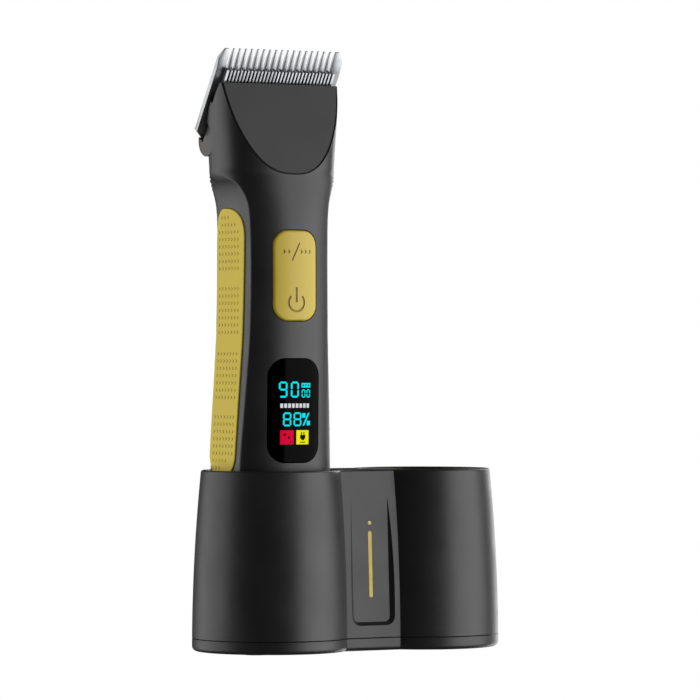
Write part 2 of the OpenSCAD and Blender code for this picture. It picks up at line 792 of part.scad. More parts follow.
frame_screw_x = 7;
module at_frame_screws() {
    for (s = [-1, 1]) translate([s * frame_screw_x, drive_y, motor_top]) children();
}

module motor_can() {
    color([0.7, 0.7, 0.72]) handpiece() difference() {
        translate([0, drive_y, motor_top - motor_len]) {
            cylinder(r = motor_r, h = motor_len, $fn = 64);
            cylinder(r = 3, h = motor_len + 1.5, $fn = hole_fn);
        }
        translate([0, drive_y, motor_top - 5]) cylinder(r = 1 + run, h = 9, $fn = hole_fn);
        at_frame_screws() translate([0, 0, -2.5]) cylinder(r = 0.9 + run, h = 3, $fn = hole_fn);
    }
}

module motor_end_bell() {
    color([0.9, 0.9, 0.85]) handpiece() translate([0, drive_y, motor_top - motor_len - 2.6]) {
        cylinder(r = motor_r - 0.4, h = 2.6, $fn = 64);
        for (s = [-1, 1]) translate([s * 5 - 1, -0.25, -1.4]) cube([2, 0.5, 1.6]);
    }
}

module motor_shaft() {
    color("silver") handpiece() translate([0, drive_y, motor_top - 4.9])
        cylinder(r = 1, h = crank_z - 2.2 - motor_top + 4.9, $fn = hole_fn);
}

module crank() {
    color("silver") handpiece() difference() {
        translate([0, drive_y, crank_z - 5]) {
            cylinder(r = 3.4, h = 3, $fn = 48);
            translate([throw, 0, 0]) cylinder(r = crank_pin_r, h = 7, $fn = hole_fn);
        }
        translate([0, drive_y, crank_z - 6]) cylinder(r = 1 + 0.02, h = 3.9, $fn = hole_fn);
    }
}

riser_y = 5.8;
module drive_frame() {
    color([0.75, 0.76, 0.78]) handpiece() difference() {
        union() {
            intersection() {
                translate([-20, -8.4, motor_top]) cube([40, 19.3, frame_t]);
                skin(body_wall + gap, heights(motor_top - 2, motor_top + 6));
            }
            for (s = [-1, 1]) translate([-6, s * riser_y - 1, motor_top])
                cube([12, 2, pivot_z + 4 - motor_top]);
        }
        translate([0, drive_y, motor_top - 1]) cylinder(r = 3 + run, h = 9, $fn = hole_fn);
        at_frame_screws() translate([0, 0, -1]) cylinder(r = 1.05, h = 9, $fn = hole_fn);
        translate([0, 0, pivot_z]) rotate([90, 0, 0])
            cylinder(r = pivot_r + 0.02, h = 30, center = true, $fn = hole_fn);
    }
}

module frame_screws() {
    color("silver") handpiece() at_frame_screws() {
        translate([0, 0, frame_t]) cylinder(r = 1.7, h = 1.2, $fn = hole_fn);
        translate([0, 0, -2.3]) cylinder(r = 0.9, h = frame_t + 2.4, $fn = hole_fn);
    }
}

module drive_lever() {
    color([0.85, 0.85, 0.8]) handpiece() difference() {
        union() {
            translate([0, 0, pivot_z]) rotate([90, 0, 0])
                cylinder(r = 4, h = 2 * (riser_y - 1.4), center = true, $fn = 48);
            for (s = [-1, 1]) translate([s * (fork_half + 0.9) - 0.9, -1.4, crank_z - 1.6])
                cube([1.8, 4.8, lower_arm + 1.6]);
            translate([-3, -4.4, pivot_z]) cube([6, 2.9, body_len - 7.4 - pivot_z]);
            blade_frame() translate([-finger_half, -7.2, drive_zl - 1.5])
                cube([2 * finger_half, 4, 2.9]);
        }
        translate([0, 0, pivot_z]) rotate([90, 0, 0])
            cylinder(r = pivot_r + run, h = 30, center = true, $fn = hole_fn);
    }
}

module lever_pin() {
    color("silver") handpiece() translate([0, 0, pivot_z]) rotate([90, 0, 0])
        cylinder(r = pivot_r, h = 2 * (riser_y + 1), center = true, $fn = hole_fn);
}

module latch_button() {
    color([0.1, 0.1, 0.1]) handpiece() {
        translate([-latch_half_w, 13.5, latch_z]) cube([2 * latch_half_w, 2, latch_h]);
        for (i = [0:3]) translate([-latch_half_w + 1, 15.5, latch_z + 1.2 + 2 * i])
            cube([2 * latch_half_w - 2, 0.5, 0.8]);
        translate([-2.2, 10, latch_z + 1.3]) cube([4.4, 4, 3.6]);
        translate([-5, 9.9, latch_z + 0.6]) cube([10, 0.8, 5.2]);
    }
}

/* ---- blade ---- */

module hinge_axis(r, length) {
    translate([0, hinge_yl, hinge_zl]) rotate([0, 90, 0])
        cylinder(r = r, h = length, center = true, $fn = hole_fn);
}

module hinge_pin() {
    color("silver") handpiece() blade_frame() hinge_axis(hinge_pin_r, 2 * ear_at[1] + 4);
}

heel_flat = -comb_t - 1.6;
module hinge_heel() {
    slot_w = ear_at[1] - ear_at[0] + 2 * slip;
    color([0.2, 0.16, 0.13]) handpiece() blade_frame() difference() {
        translate([0, hinge_yl, hinge_zl]) rotate([0, 90, 0])
            cylinder(r = heel_r, h = 2 * heel_half_w, center = true, $fn = round_fn);
        translate([-40, heel_flat, -comb_len - 0.4]) cube([80, 20, 60]);
        translate([-40, 0, -80]) cube([80, 20, 120]);
        for (s = [-1, 1]) translate([s * (ear_at[0] + ear_at[1]) / 2 - slot_w / 2, -40, -60])
            cube([slot_w, 40 - 2.7, 60]);
        hinge_axis(hinge_pin_r + run, 2 * ear_at[1] + 4.6);
    }
}

module hinge_tongue() {
    color("silver") handpiece() blade_frame()
        translate([-6.6, heel_flat + 0.1, -comb_len + 0.3]) cube([13.2, 0.8, 9.7]);
}

module blade_socket() {
    color([0.7, 0.7, 0.7]) handpiece() blade_frame() difference() {
        union() {
            translate([-8.6, -comb_t - 0.45, -comb_len + 0.2]) cube([17.2, 0.4, 14.5]);
            for (s = [-1, 1]) translate([s * 7.75 - 0.85, -comb_t - 1.45, -comb_len + 0.2])
                cube([1.7, 1.2, 11]);
            for (s = [-1, 1]) {
                translate([s * 7.75 - 0.85, -comb_t - 2.4, -28.8]) cube([1.7, 1.5, 3.6]);
                translate([s * 7.1 - 1.5, -comb_t - 2.4, -28.8]) cube([3, 0.55, 3.6]);
            }
        }
        at_blade_screws(-20) cylinder(r = 1.15, h = 40, $fn = hole_fn);
    }
}

module at_blade_screws(y) {
    for (s = [-1, 1]) translate([s * 5, y, screw_zl + 0.6]) rotate([-90, 0, 0]) children();
}

function comb_tooth(i) = let (x = i * comb_pitch, tip = 0.42, root = 0.66)
    [[x + root, -15], [x + root, -3], [x + tip, 0], [x - tip, 0], [x - root, -3], [x - root, -15]];

module comb_outline() {
    last = (comb_teeth - 1) / 2;
    half = comb_w / 2;
    polygon(concat([[-half, -comb_len + 3], [-half + 3, -comb_len], [half - 3, -comb_len],
        [half, -comb_len + 3], [half, -3.6], [half - 1.9, 0], [last * comb_pitch - 0.42, 0],
        [last * comb_pitch - 0.66, -3], [last * comb_pitch - 0.66, -15]],
        [for (i = [last - 1:-1:1 - last]) each comb_tooth(i)],
        [[-last * comb_pitch + 0.66, -15], [-last * comb_pitch + 0.66, -3],
        [-last * comb_pitch + 0.42, 0], [-half + 1.9, 0], [-half, -3.6]]));
}

module comb_blade() {
    color([0.72, 0.73, 0.75]) handpiece() blade_frame() difference() {
        rotate([90, 0, 0]) linear_extrude(comb_t) comb_outline();
        along_x(100) polygon([[-comb_t - 1, -bevel_len], [-comb_t, -bevel_len], [-0.6, 0], [-0.6, 1],
            [-comb_t - 1, 1]]);
        at_blade_screws(-comb_t - 1) cylinder(r = 1.05, h = 2.6, $fn = hole_fn);
    }
}

module cutter_blade() {
    low = -comb_t - gap - cutter_t;
    half = cutter_teeth * cutter_pitch / 2;
    color([0.62, 0.63, 0.65]) handpiece() blade_frame() difference() {
        translate([-half, low, cutter_low]) cube([2 * half, cutter_t, cutter_top - cutter_low]);
        for (i = [1:cutter_teeth - 1]) translate([-half + i * cutter_pitch - 0.32, low - 1, cutter_top - 5])
            cube([0.64, cutter_t + 2, 6]);
        translate([-finger_half - 0.15, low - 1, cutter_low - 1])
            cube([2 * finger_half + 0.3, cutter_t + 2, drive_zl + 1.75 - cutter_low + 1]);
    }
}

cutter_back = -comb_t - gap - cutter_t;
guide_back = cutter_back - 0.05 - guide_t;
spring_back = guide_back - 0.05 - leg_t;
module cutter_guide() {
    color([0.08, 0.08, 0.08]) handpiece() blade_frame() for (s = [-1, 1])
        translate([s * spring_x - 4.5, guide_back, cutter_low + 0.2]) cube([9, guide_t, 3.2]);
}

module tension_spring() {
    base = -comb_t - 0.9;
    bend = spring_back + leg_t;
    color([0.75, 0.75, 0.77]) handpiece() blade_frame() difference() {
        union() {
            translate([-15, base, spring_zl[0] + 2.4]) cube([30, 0.4, 3]);
            for (s = [-1, 1]) translate([s * spring_x, 0, 0]) along_x(6)
                polygon([[base, -21.9], [base + 0.4, -21.6], [bend, -19.3], [bend, -15.6],
                    [spring_back, -15.6], [spring_back, -19.6]]);
        }
        at_blade_screws(-20) cylinder(r = 1.15, h = 40, $fn = hole_fn);
    }
}

module blade_screws() {
    color("silver") handpiece() blade_frame() {
        at_blade_screws(-comb_t - 1.9) cylinder(r = 1.7, h = 0.95, $fn = hole_fn);
        at_blade_screws(-comb_t - 1.9) cylinder(r = 1, h = 3.3, $fn = hole_fn);
    }
}

/* ---- what is drawn ---- */

stand_casing();
stand_base();
foot_pads();
base_screws();
stand_board();
pin_blocks();
clipper_pins();
spare_pins();
power_inlet();
indicator_board();
indicator_bar();
indicator_dot();
front_casing();
back_casing();
head_cover();
grip_left();
grip_right();
end_cap();
charge_contacts();
casing_screws();
display_window();
display_panel();
main_board();
key_switches();
rocker_key();
key_pin();
battery_cell();
battery_cradle();
motor_can();
motor_end_bell();
motor_shaft();
crank();
drive_frame();
frame_screws();
drive_lever();
lever_pin();
latch_button();
hinge_pin();
hinge_heel();
hinge_tongue();
blade_socket();
comb_blade();
cutter_blade();
cutter_guide();
tension_spring();
blade_screws();
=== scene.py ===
# %% [markdown]
# # A cordless body groomer in its twin-cup charging stand
# The imported model is the fixed frame of this scene. Sizes below are millimetres, as on a drawing,
# and turn into metres only when a mesh is made. Most shapes are surfaces worked out with numpy;
# the blade, the fittings and the parts inside come from the frame's own meshes.

# %% Load the frame
import json
import math

import bmesh
import bpy
import numpy as np
from mathutils import Matrix, Vector


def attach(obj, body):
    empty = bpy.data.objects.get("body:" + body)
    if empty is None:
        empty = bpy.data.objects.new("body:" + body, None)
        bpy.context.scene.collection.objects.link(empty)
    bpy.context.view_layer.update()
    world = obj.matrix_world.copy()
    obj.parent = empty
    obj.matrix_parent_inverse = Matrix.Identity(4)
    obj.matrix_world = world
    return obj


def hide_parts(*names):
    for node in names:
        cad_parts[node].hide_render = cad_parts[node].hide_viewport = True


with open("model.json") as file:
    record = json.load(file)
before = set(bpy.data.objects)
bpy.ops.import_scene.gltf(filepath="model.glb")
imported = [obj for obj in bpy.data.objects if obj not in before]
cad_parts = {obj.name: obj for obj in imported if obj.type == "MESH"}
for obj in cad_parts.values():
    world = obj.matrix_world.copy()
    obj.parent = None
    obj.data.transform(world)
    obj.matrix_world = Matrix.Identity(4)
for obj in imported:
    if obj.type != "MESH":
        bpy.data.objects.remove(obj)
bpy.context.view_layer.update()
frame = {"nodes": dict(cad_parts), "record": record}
node_body = {node: body for body, nodes in frame["record"]["behaviour"]["bodies"].items()
             for node in nodes}
MM = 0.001

# %% [markdown]
# ## Camera
# The object is seen a little above its middle from 30 degrees to the left of its front, with a long
# lens. A long lens keeps the two cups nearly the same size, as in a catalogue picture.

# %% Camera
view_left = math.radians(30)
far = 1652.0
aside = 28.09
eye_height = 103.4
pitch_up = 0.123
cup_pitch = 62.0
aim = np.array([math.sin(view_left), math.cos(view_left)])
right = np.array([aim[1], -aim[0]])
near_cup = np.array([-cup_pitch / 2, 0.0])
eye = near_cup - far * aim + aside * right
cam_data = bpy.data.cameras.new("camera")
cam_data.sensor_width = 36
cam_data.lens = 239.4
cam_data.clip_end = 20
camera = bpy.data.objects.new("camera", cam_data)
bpy.context.scene.collection.objects.link(camera)
camera.location = (eye[0] * MM, eye[1] * MM, eye_height * MM)
camera.rotation_mode = "XYZ"
camera.rotation_euler = (math.radians(90 + pitch_up), 0, -view_left)
bpy.context.scene.camera = camera
print("camera at", [round(v, 3) for v in camera.location])

# %% [markdown]
# ## Colours and nodes
# A colour is written as it looks on a screen, in hex. Blender mixes light in linear numbers, so one
# function turns one into the other. One more function adds a node with its settings and its links.

# %% Colour and node helpers
def linear(hex_colour):
    """Hex to linear RGBA: v / 12.92 below 0.04045, else ((v + 0.055) / 1.055) ^ 2.4."""
    v = np.array([int(hex_colour[i:i + 2], 16) for i in (1, 3, 5)]) / 255
    v = np.where(v <= 0.04045, v / 12.92, ((v + 0.055) / 1.055) ** 2.4)
    return (*v.tolist(), 1.0)


def add(tree, kind, links=(), **settings):
    """Adds a node. links maps an input's name or number to a socket; settings are values."""
    node = tree.nodes.new(kind)
    for name, value in settings.items():
        if name in node.inputs:
            node.inputs[name].default_value = value
        else:
            setattr(node, name, value)
    for name, socket in dict(links).items():
        tree.links.new(socket, node.inputs[name])
    return node


def start_material(name, colour, rough, metal=0.0, **more):
    """A material with its Principled shader; more holds further sockets by name."""
    mat = bpy.data.materials.new(name)
    mat.use_nodes = True
    shader = mat.node_tree.nodes["Principled BSDF"]
    shader.inputs["Base Color"].default_value = linear(colour)
    shader.inputs["Roughness"].default_value = rough
    shader.inputs["Metallic"].default_value = metal
    for key, value in more.items():
        shader.inputs[key.replace("_", " ")].default_value = value
    return mat, mat.node_tree, shader


def object_noise(tree, size_mm, detail=4.0, stretch=(1, 1, 1)):
    """Noise on Object coordinates whose grains are about size_mm across, stretched by axis."""
    coord = add(tree, "ShaderNodeTexCoord")
    turn = add(tree, "ShaderNodeMapping", links={"Vector": coord.outputs["Object"]}, Scale=stretch)
    return add(tree, "ShaderNodeTexNoise", links={"Vector": turn.outputs["Vector"]},
               Scale=1 / (size_mm * MM), Detail=detail)


def bump(tree, shader, height, depth_mm, strength=1.0):
    """Joins a height from 0 to 1 to the shader's normal, as a relief depth_mm deep."""
    node = add(tree, "ShaderNodeBump", links={"Height": height}, Strength=strength,
               Distance=depth_mm * MM)
    tree.links.new(node.outputs["Normal"], shader.inputs["Normal"])
    return node


def vary(tree, factor, low, high, socket):
    """Maps a factor from 0.3 to 0.7 onto low to high and joins it to a socket."""
    node = add(tree, "ShaderNodeMapRange", links={"Value": factor})
    for name, value in (("From Min", 0.3), ("From Max", 0.7), ("To Min", low), ("To Max", high)):
        node.inputs[name].default_value = value
    tree.links.new(node.outputs["Result"], socket)


def tint(tree, factor, dark, light, shader):
    """Colours the surface between two hex colours by a factor from 0.3 to 0.7."""
    ramp = add(tree, "ShaderNodeValToRGB", links={"Fac": factor})
    ramp.color_ramp.elements[0].position, ramp.color_ramp.elements[1].position = 0.3, 0.7
    ramp.color_ramp.elements[0].color = linear(dark)
    ramp.color_ramp.elements[1].color = linear(light)
    tree.links.new(ramp.outputs["Color"], shader.inputs["Base Color"])


# %% [markdown]
# ## Moulded ABS and its spark-eroded grain
# The casing and the stand are injection-moulded ABS, charcoal right through. The steel mould was
# eroded by sparks, which leaves pits a few tenths of a millimetre across. They spread the
# highlight, so the plastic looks satin. Real pits are 0.05 mm; 0.3 mm ones are the finest that
# still show in a picture, so the relief is drawn with those and kept very shallow.

# %% Plastic and rubber
def moulded(name, dark, light, rough, grain_mm=0.3, relief_mm=0.006, cloud_mm=14, **more):
    """Moulded plastic: fine eroded pits as relief, and slow cloudy change in colour and gloss."""
    mat, tree, shader = start_material(name, light, rough, IOR=1.53, **more)
    pits = object_noise(tree, grain_mm, detail=3)
    cloud = object_noise(tree, cloud_mm, detail=2)
    tint(tree, cloud.outputs["Fac"], dark, light, shader)
    vary(tree, cloud.outputs["Fac"], rough - 0.03, rough + 0.04, shader.inputs["Roughness"])
    bump(tree, shader, pits.outputs["Fac"], relief_mm)
    return mat


charcoal = moulded("charcoal_abs_eroded_mould", "#171718", "#1c1c1d", 0.42)
charcoal_flat = moulded("charcoal_abs_fine_mould", "#18181a", "#1c1c1d", 0.46, grain_mm=0.2)
black_abs = moulded("black_abs_moulded", "#0c0c0d", "#121213", 0.40)
yellow_tpe = moulded("yellow_overmoulded_rubber", "#efd336", "#f4da3c", 0.62, grain_mm=0.25,
                     relief_mm=0.008, cloud_mm=9)
yellow_abs = moulded("yellow_abs_moulded", "#cfb530", "#d5bc38", 0.45, relief_mm=0.004)
# Darker yellow for the walls and floors of the signs sunk into the key: painted shade in the
# recesses.
engraving_painted_shade = moulded("yellow_abs_engraving_painted_shade", "#9c7f24", "#a5892c", 0.6)
foot_rubber = moulded("black_foot_rubber", "#101010", "#191919", 0.75, grain_mm=0.4)
cream_abs = moulded("cream_nylon_moulded", "#cfc9b6", "#d9d4c2", 0.5)
print("plastics made:", len(bpy.data.materials))

# %% [markdown]
# ## Ground steel, gilding, boards and the cell's film
# The comb and the cutter are hardened steel, ground flat on a wheel. Grinding leaves straight
# scratches a few hundredths of a millimetre apart along one way, so the noise is stretched
# a hundredfold along it. The real scratches are too fine to show, so they are drawn 0.12 mm apart.

# %% Metals and inner finishes
def ground_steel(name, dark, light, rough, along="x"):
    """Ground metal: noise stretched along the wheel's way, as relief and as change in gloss."""
    mat, tree, shader = start_material(name, light, rough, metal=1.0)
    stretch = {"x": (0.02, 1, 1), "z": (1, 1, 0.02), "none": (1, 1, 1)}[along]
    lines = object_noise(tree, 0.12, detail=3, stretch=stretch)
    stain = object_noise(tree, 6, detail=3)
    tint(tree, stain.outputs["Fac"], dark, light, shader)
    vary(tree, lines.outputs["Fac"], rough - 0.06, rough + 0.08, shader.inputs["Roughness"])
    bump(tree, shader, lines.outputs["Fac"], 0.003)
    return mat


comb_steel = ground_steel("hardened_steel_ground", "#a2a4a6", "#b0b2b4", 0.40)
cutter_steel = ground_steel("cutter_steel_ground", "#939597", "#a3a5a7", 0.38)
plated_steel = ground_steel("zinc_plated_steel", "#a2a5a8", "#b5b8bb", 0.28, along="none")
spring_steel = ground_steel("rolled_spring_steel", "#8d9093", "#a1a4a7", 0.32, along="z")
motor_steel = ground_steel("drawn_steel_can", "#9da0a3", "#acafb2", 0.30, along="z")
cast_alloy = ground_steel("die_cast_alloy", "#a6a8aa", "#b3b5b7", 0.45, along="none")
gilt = ground_steel("gilt_brass", "#c99c3c", "#d8ae4e", 0.25, along="none")
browned = moulded("browned_steel", "#221c17", "#2d251e", 0.36, grain_mm=0.2, relief_mm=0.003)
board_green = moulded("glass_fibre_board", "#123f26", "#1a5233", 0.4, grain_mm=0.5)
cell_film = moulded("shrink_film_on_cell", "#1d3f7c", "#264c90", 0.3, cloud_mm=20)
display_back = moulded("display_module_back", "#1e3a44", "#274954", 0.4)


def light_pipe_material():
    """Clear yellow acrylic that a lamp behind it fills with light, so it glows a little."""
    mat, tree, shader = start_material("yellow_acrylic_light_pipe", "#cbb03c", 0.35, IOR=1.49,
                                       Emission_Strength=0.04)
    shader.inputs["Emission Color"].default_value = linear("#d8bf4a")
    streak = object_noise(tree, 3, detail=2)
    tint(tree, streak.outputs["Fac"], "#c4a836", "#d0b646", shader)
    return mat


def lit_segment(name, colour, strength):
    """A lit element of the display: coloured light with a slow change in level across it."""
    mat, tree, shader = start_material(name, "#040404", 0.3, IOR=1.09, Emission_Strength=strength)
    shader.inputs["Emission Color"].default_value = linear(colour)
    glow = object_noise(tree, 1.5, detail=1)
    vary(tree, glow.outputs["Fac"], 0.25, 0.35, shader.inputs["Roughness"])
    return mat


def window_material():
    """Black-printed polycarbonate with a layer against reflections, so it stays black in a lamp."""
    mat, tree, shader = start_material("dark_polycarbonate_antireflective", "#010101", 0.12,
                                       IOR=1.09)
    wave = object_noise(tree, 8, detail=1)
    vary(tree, wave.outputs["Fac"], 0.1, 0.16, shader.inputs["Roughness"])
    bump(tree, shader, wave.outputs["Fac"], 0.01)
    return mat


light_pipe = light_pipe_material()
dark_window = window_material()
cyan_lit = lit_segment("cyan_segments", "#02f0fa", 0.9)
white_lit = lit_segment("white_segments", "#e8eef0", 0.8)
red_lit = lit_segment("red_tile", "#e8003a", 0.8)
yellow_lit = lit_segment("yellow_tile", "#f6f200", 0.9)

# %% [markdown]
# ## Meshes from arrays
# A surface is a grid of points, rows by columns. The faces of a grid follow from counting, so they
# are worked out as whole arrays too. A closed solid is a tube of rings with its two ends closed.

# %% Mesh helpers
def grid_faces(rows, cols, wrap=True):
    """Quads of a grid stored row by row: (r, c), (r, c+1), (r+1, c+1), (r+1, c)."""
    r, c = np.meshgrid(np.arange(rows - 1), np.arange(cols if wrap else cols - 1), indexing="ij")
    nxt = (c + 1) % cols
    return np.stack([r * cols + c, r * cols + nxt, (r + 1) * cols + nxt, (r + 1) * cols + c],
                    -1).reshape(-1, 4)


def new_object(name, points_mm, faces):
    """A mesh object from points in millimetres and a list or array of faces."""
    mesh = bpy.data.meshes.new(name)
    mesh.from_pydata((np.asarray(points_mm, float).reshape(-1, 3) * MM).tolist(), [],
                     faces.tolist() if isinstance(faces, np.ndarray) else faces)
    mesh.update()
    made = bpy.data.objects.new(name, mesh)
    bpy.context.scene.collection.objects.link(made)
    return made


def tube(name, rings):
    """Closed solid from rings (m, n, 3), counter-clockwise seen from the last ring's side."""
    rings = np.asarray(rings, float)
    rows, cols = rings.shape[:2]
    faces = grid_faces(rows, cols).tolist()
    faces.append(list(range(cols - 1, -1, -1)))
    faces.append(list(range((rows - 1) * cols, rows * cols)))
    return new_object(name, rings, faces)


def apply_modifiers(obj):
    """Replaces the object's mesh by what its modifiers make of it."""
    graph = bpy.context.evaluated_depsgraph_get()
    mesh = bpy.data.meshes.new_from_object(obj.evaluated_get(graph))
    obj.modifiers.clear()
    obj.data = mesh
    return obj


def combine(obj, tool, how="DIFFERENCE"):
    """Cuts, joins or intersects two closed solids and removes the second."""
    cut = obj.modifiers.new("cut", "BOOLEAN")
    cut.operation, cut.solver, cut.object = how, "MANIFOLD", tool
    apply_modifiers(obj)
    bpy.data.objects.remove(tool)
    return obj


def finish_piece(obj, body, nodes=(), angle=32, material=None):
    """Smooths faces that meet at less than angle and hangs the piece on its body."""
    mesh = obj.data
    if material:
        mesh.materials.clear()
        mesh.materials.append(material)
    mesh.polygons.foreach_set("use_smooth", np.ones(len(mesh.polygons), bool))
    mesh.set_sharp_from_angle(angle=math.radians(angle))
    if nodes:
        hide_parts(*nodes)
    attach(obj, body)
    print(f"{obj.name}: {len(mesh.polygons)} faces")
    return obj


def place(points, origin=(0, 0, 0), tilt=0.0):
    """Turns points about X by tilt and moves them: y' = y cos - z sin, z' = y sin + z cos."""
    p = np.asarray(points, float)
    c, s = math.cos(math.radians(tilt)), math.sin(math.radians(tilt))
    turned = np.stack([p[..., 0], p[..., 1] * c - p[..., 2] * s, p[..., 1] * s + p[..., 2] * c], -1)
    return turned + np.asarray(origin, float)


def block(name, low, high, origin=(0, 0, 0), tilt=0.0):
    """A box between two corners, in a frame that is moved and tilted about X."""
    x0, y0, z0 = low
    x1, y1, z1 = high
    ring = np.array([[x0, y0], [x1, y0], [x1, y1], [x0, y1]], float)
    rings = np.stack([np.column_stack([ring, np.full(4, z)]) for z in (z0, z1)])
    return tube(name, place(rings, origin, tilt))


def signed_volume(obj):
    """Volume inside a closed mesh, from the sum of a . (b x c) / 6 over its triangles."""
    mesh = obj.data
    mesh.calc_loop_triangles()
    tri = np.zeros(len(mesh.loop_triangles) * 3, int)
    mesh.loop_triangles.foreach_get("vertices", tri)
    co = np.zeros(len(mesh.vertices) * 3)
    mesh.vertices.foreach_get("co", co)
    a, b, c = co.reshape(-1, 3)[tri.reshape(-1, 3)].transpose(1, 0, 2)
    return float(np.einsum("ij,ij->i", a, np.cross(b, c)).sum() / 6)


def outward(obj):
    """Turns every face over if they look inwards, which shows as a volume below zero."""
    if signed_volume(obj) < 0:
        obj.data.flip_normals()
    return obj


def prism(name, outline, depth0, depth1, to_space):
    """Extrudes an outline (u, v) between two depths; to_space maps (u, v, depth) to (x, y, z)."""
    outline = np.asarray(outline, float)
    rings = np.stack([to_space(outline[:, 0], outline[:, 1], np.full(len(outline), float(d)))
                      for d in (depth0, depth1)])
    return outward(tube(name, rings))


def arc(centre, radius, start, end, count):
    """Points on a circle: centre + radius (cos a, sin a), a from start to end degrees."""
    a = np.radians(np.linspace(start, end, count))
    return np.stack([centre[0] + radius * np.cos(a), centre[1] + radius * np.sin(a)], -1)


def rounded_box(width, height, radius, count=10):
    """Outline of a rectangle with round corners about the origin, counter-clockwise."""
    w, h = width / 2 - radius, height / 2 - radius
    corners = [((w, -h), -90), ((w, h), 0), ((-w, h), 90), ((-w, -h), 180)]
    return np.concatenate([arc(c, radius, a, a + 90, count) for c, a in corners])


def softened(node, material, width=0.2, segments=2, angle=35):
    """A copy of a CAD node with its edges rounded, which stands for that node."""
    source = frame["nodes"][node]
    mesh = source.data.copy()
    mesh.materials.clear()
    mesh.materials.append(material)
    work = bmesh.new()
    work.from_mesh(mesh)
    bmesh.ops.remove_doubles(work, verts=work.verts, dist=1e-6)
    bmesh.ops.dissolve_limit(work, angle_limit=math.radians(0.5), verts=work.verts,
                             edges=work.edges)
    work.to_mesh(mesh)
    work.free()
    obj = bpy.data.objects.new(node + "_rounded", mesh)
    bpy.context.scene.collection.objects.link(obj)
    edge = obj.modifiers.new("rounded_edges", "BEVEL")
    edge.width, edge.segments = width * MM, segments
    edge.limit_method, edge.angle_limit = "ANGLE", math.radians(angle)
    edge.use_clamp_overlap = True
    apply_modifiers(obj)
    obj.data.polygons.foreach_set("material_index", np.zeros(len(obj.data.polygons), np.int32))
    return finish_piece(obj, node_body[node], [node], material=material)


# %% [markdown]
# ## The stand's casing
# The cups are drafted: each wall leans in as it rises, faster towards the rim, so that the
# moulding leaves its tool. A web joins the cups. Its face meets a cup's round wall in a straight
# line, so the join is a clean crease. The rim is turned over with a radius of 0.7 mm.

# %% Stand sizes and shapes
cup_r, cup_draft, stand_h, web_a = 28.0, 3.2, 64.4, 20.1
well_r, well_floor, floor_t, wall, seam_h, gap = 22.97, 15.0, 2.0, 2.2, 4.8, 0.1
panel_depth, panel_half_w, panel_top, panel_bottom = 1.3, 7.4, 55.0, 8.5
bar_w, bar_len, bar_z, dot_z = 1.45, 23.6, 30.9, 45.6
rim_r, web_wall, under_wall, inlet_z = 0.8, 1.8, 2.5, 11.0


def cup_radius(z):
    """Radius of a cup at a height: r - draft (z / h) squared."""
    return cup_r - cup_draft * (np.asarray(z, float) / stand_h) ** 2


def web_front(z):
    """Depth of the web's face, where the line x = a meets the cup's circle: sqrt(R^2 - a^2)."""
    return np.sqrt(cup_radius(z) ** 2 - web_a ** 2)


def wall_profile(z0, z1, low_r, high_r, count=60):
    """Heights and insets of a wall whose lower and upper edges are rounded by quarter circles."""
    a = np.radians(np.linspace(0, 90, 7))
    low = np.stack([z0 + low_r * (1 - np.cos(a)), low_r * (1 - np.sin(a))], -1)
    high = np.stack([z1 - high_r * (1 - np.sin(a)), high_r * (1 - np.cos(a))], -1)
    mid = np.linspace(z0 + low_r, z1 - high_r, count)[1:-1]
    return np.concatenate([low, np.stack([mid, mid * 0], -1), high])


def lathe(name, profile, centre=(0, 0), count=176):
    """Turns a profile of (radius, z) round a vertical axis at centre."""
    r, z = np.asarray(profile, float).T
    a = np.linspace(0, 2 * np.pi, count, endpoint=False)
    rings = np.stack([centre[0] + r[:, None] * np.cos(a), centre[1] + r[:, None] * np.sin(a),
                      np.repeat(z[:, None], count, 1)], -1)
    return tube(name, rings)


def along_x(y, z, x):
    """Reads an outline (y, z) with its depth along X."""
    return np.stack([x, y, z], -1)


def along_y(x, z, y):
    """Reads an outline (x, z) with its depth along Y."""
    return np.stack([x, y, z], -1)


def stand_solid(name, z0, z1, low_r, high_r):
    """Both cups and the web between two heights, as one closed solid."""
    z, inset = wall_profile(z0, z1, low_r, high_r).T
    cups = [lathe(name, np.stack([cup_radius(z) - inset, z], -1), (s * cup_pitch / 2, 0))
            for s in (-1, 1)]
    face = web_front(z) - inset
    outline = np.concatenate([np.stack([-face, z], -1), np.stack([face, z], -1)[::-1]])
    web = prism(name + "_web", outline, -cup_pitch / 2, cup_pitch / 2, along_x)
    combine(cups[0], cups[1], "UNION")
    return combine(cups[0], web, "UNION")


stand = stand_solid("stand_casing_shell", seam_h + gap, stand_h, 0.25, 0.7)
lip = np.radians(np.linspace(0, 90, 7))
rim = np.stack([well_r + rim_r * (1 - np.cos(lip)), stand_h - rim_r * (1 - np.sin(lip))], -1)
well_profile = np.concatenate([[[well_r - 0.6, well_floor], [well_r, well_floor + 0.6]], rim,
                               [[well_r + rim_r, stand_h + 1]]])
under_profile = [[cup_r - under_wall, 0], [cup_r - under_wall, well_floor - floor_t]]
for side in (-1, 1):
    combine(stand, lathe("well", well_profile, (side * cup_pitch / 2, 0)))
    combine(stand, lathe("under", under_profile, (side * cup_pitch / 2, 0)))
inner_y = float(web_front(13)) - wall
combine(stand, block("under_web", (-cup_pitch / 2, -inner_y, 0), (cup_pitch / 2, inner_y, 12.9)))
core_z = np.linspace(12, stand_h - wall, 12)
core_y = web_front(core_z) - wall
core = prism("web_core", np.concatenate([np.stack([-core_y, core_z], -1),
                                         np.stack([core_y, core_z], -1)[::-1]]), -28, 28, along_x)
for side in (-1, 1):
    combine(core, lathe("core_side", [[well_r + web_wall, 0], [well_r + web_wall, stand_h]],
                        (side * cup_pitch / 2, 0)))
combine(stand, core)
print("casing volume, cubic cm:", round(signed_volume(stand) * 1e6, 1))

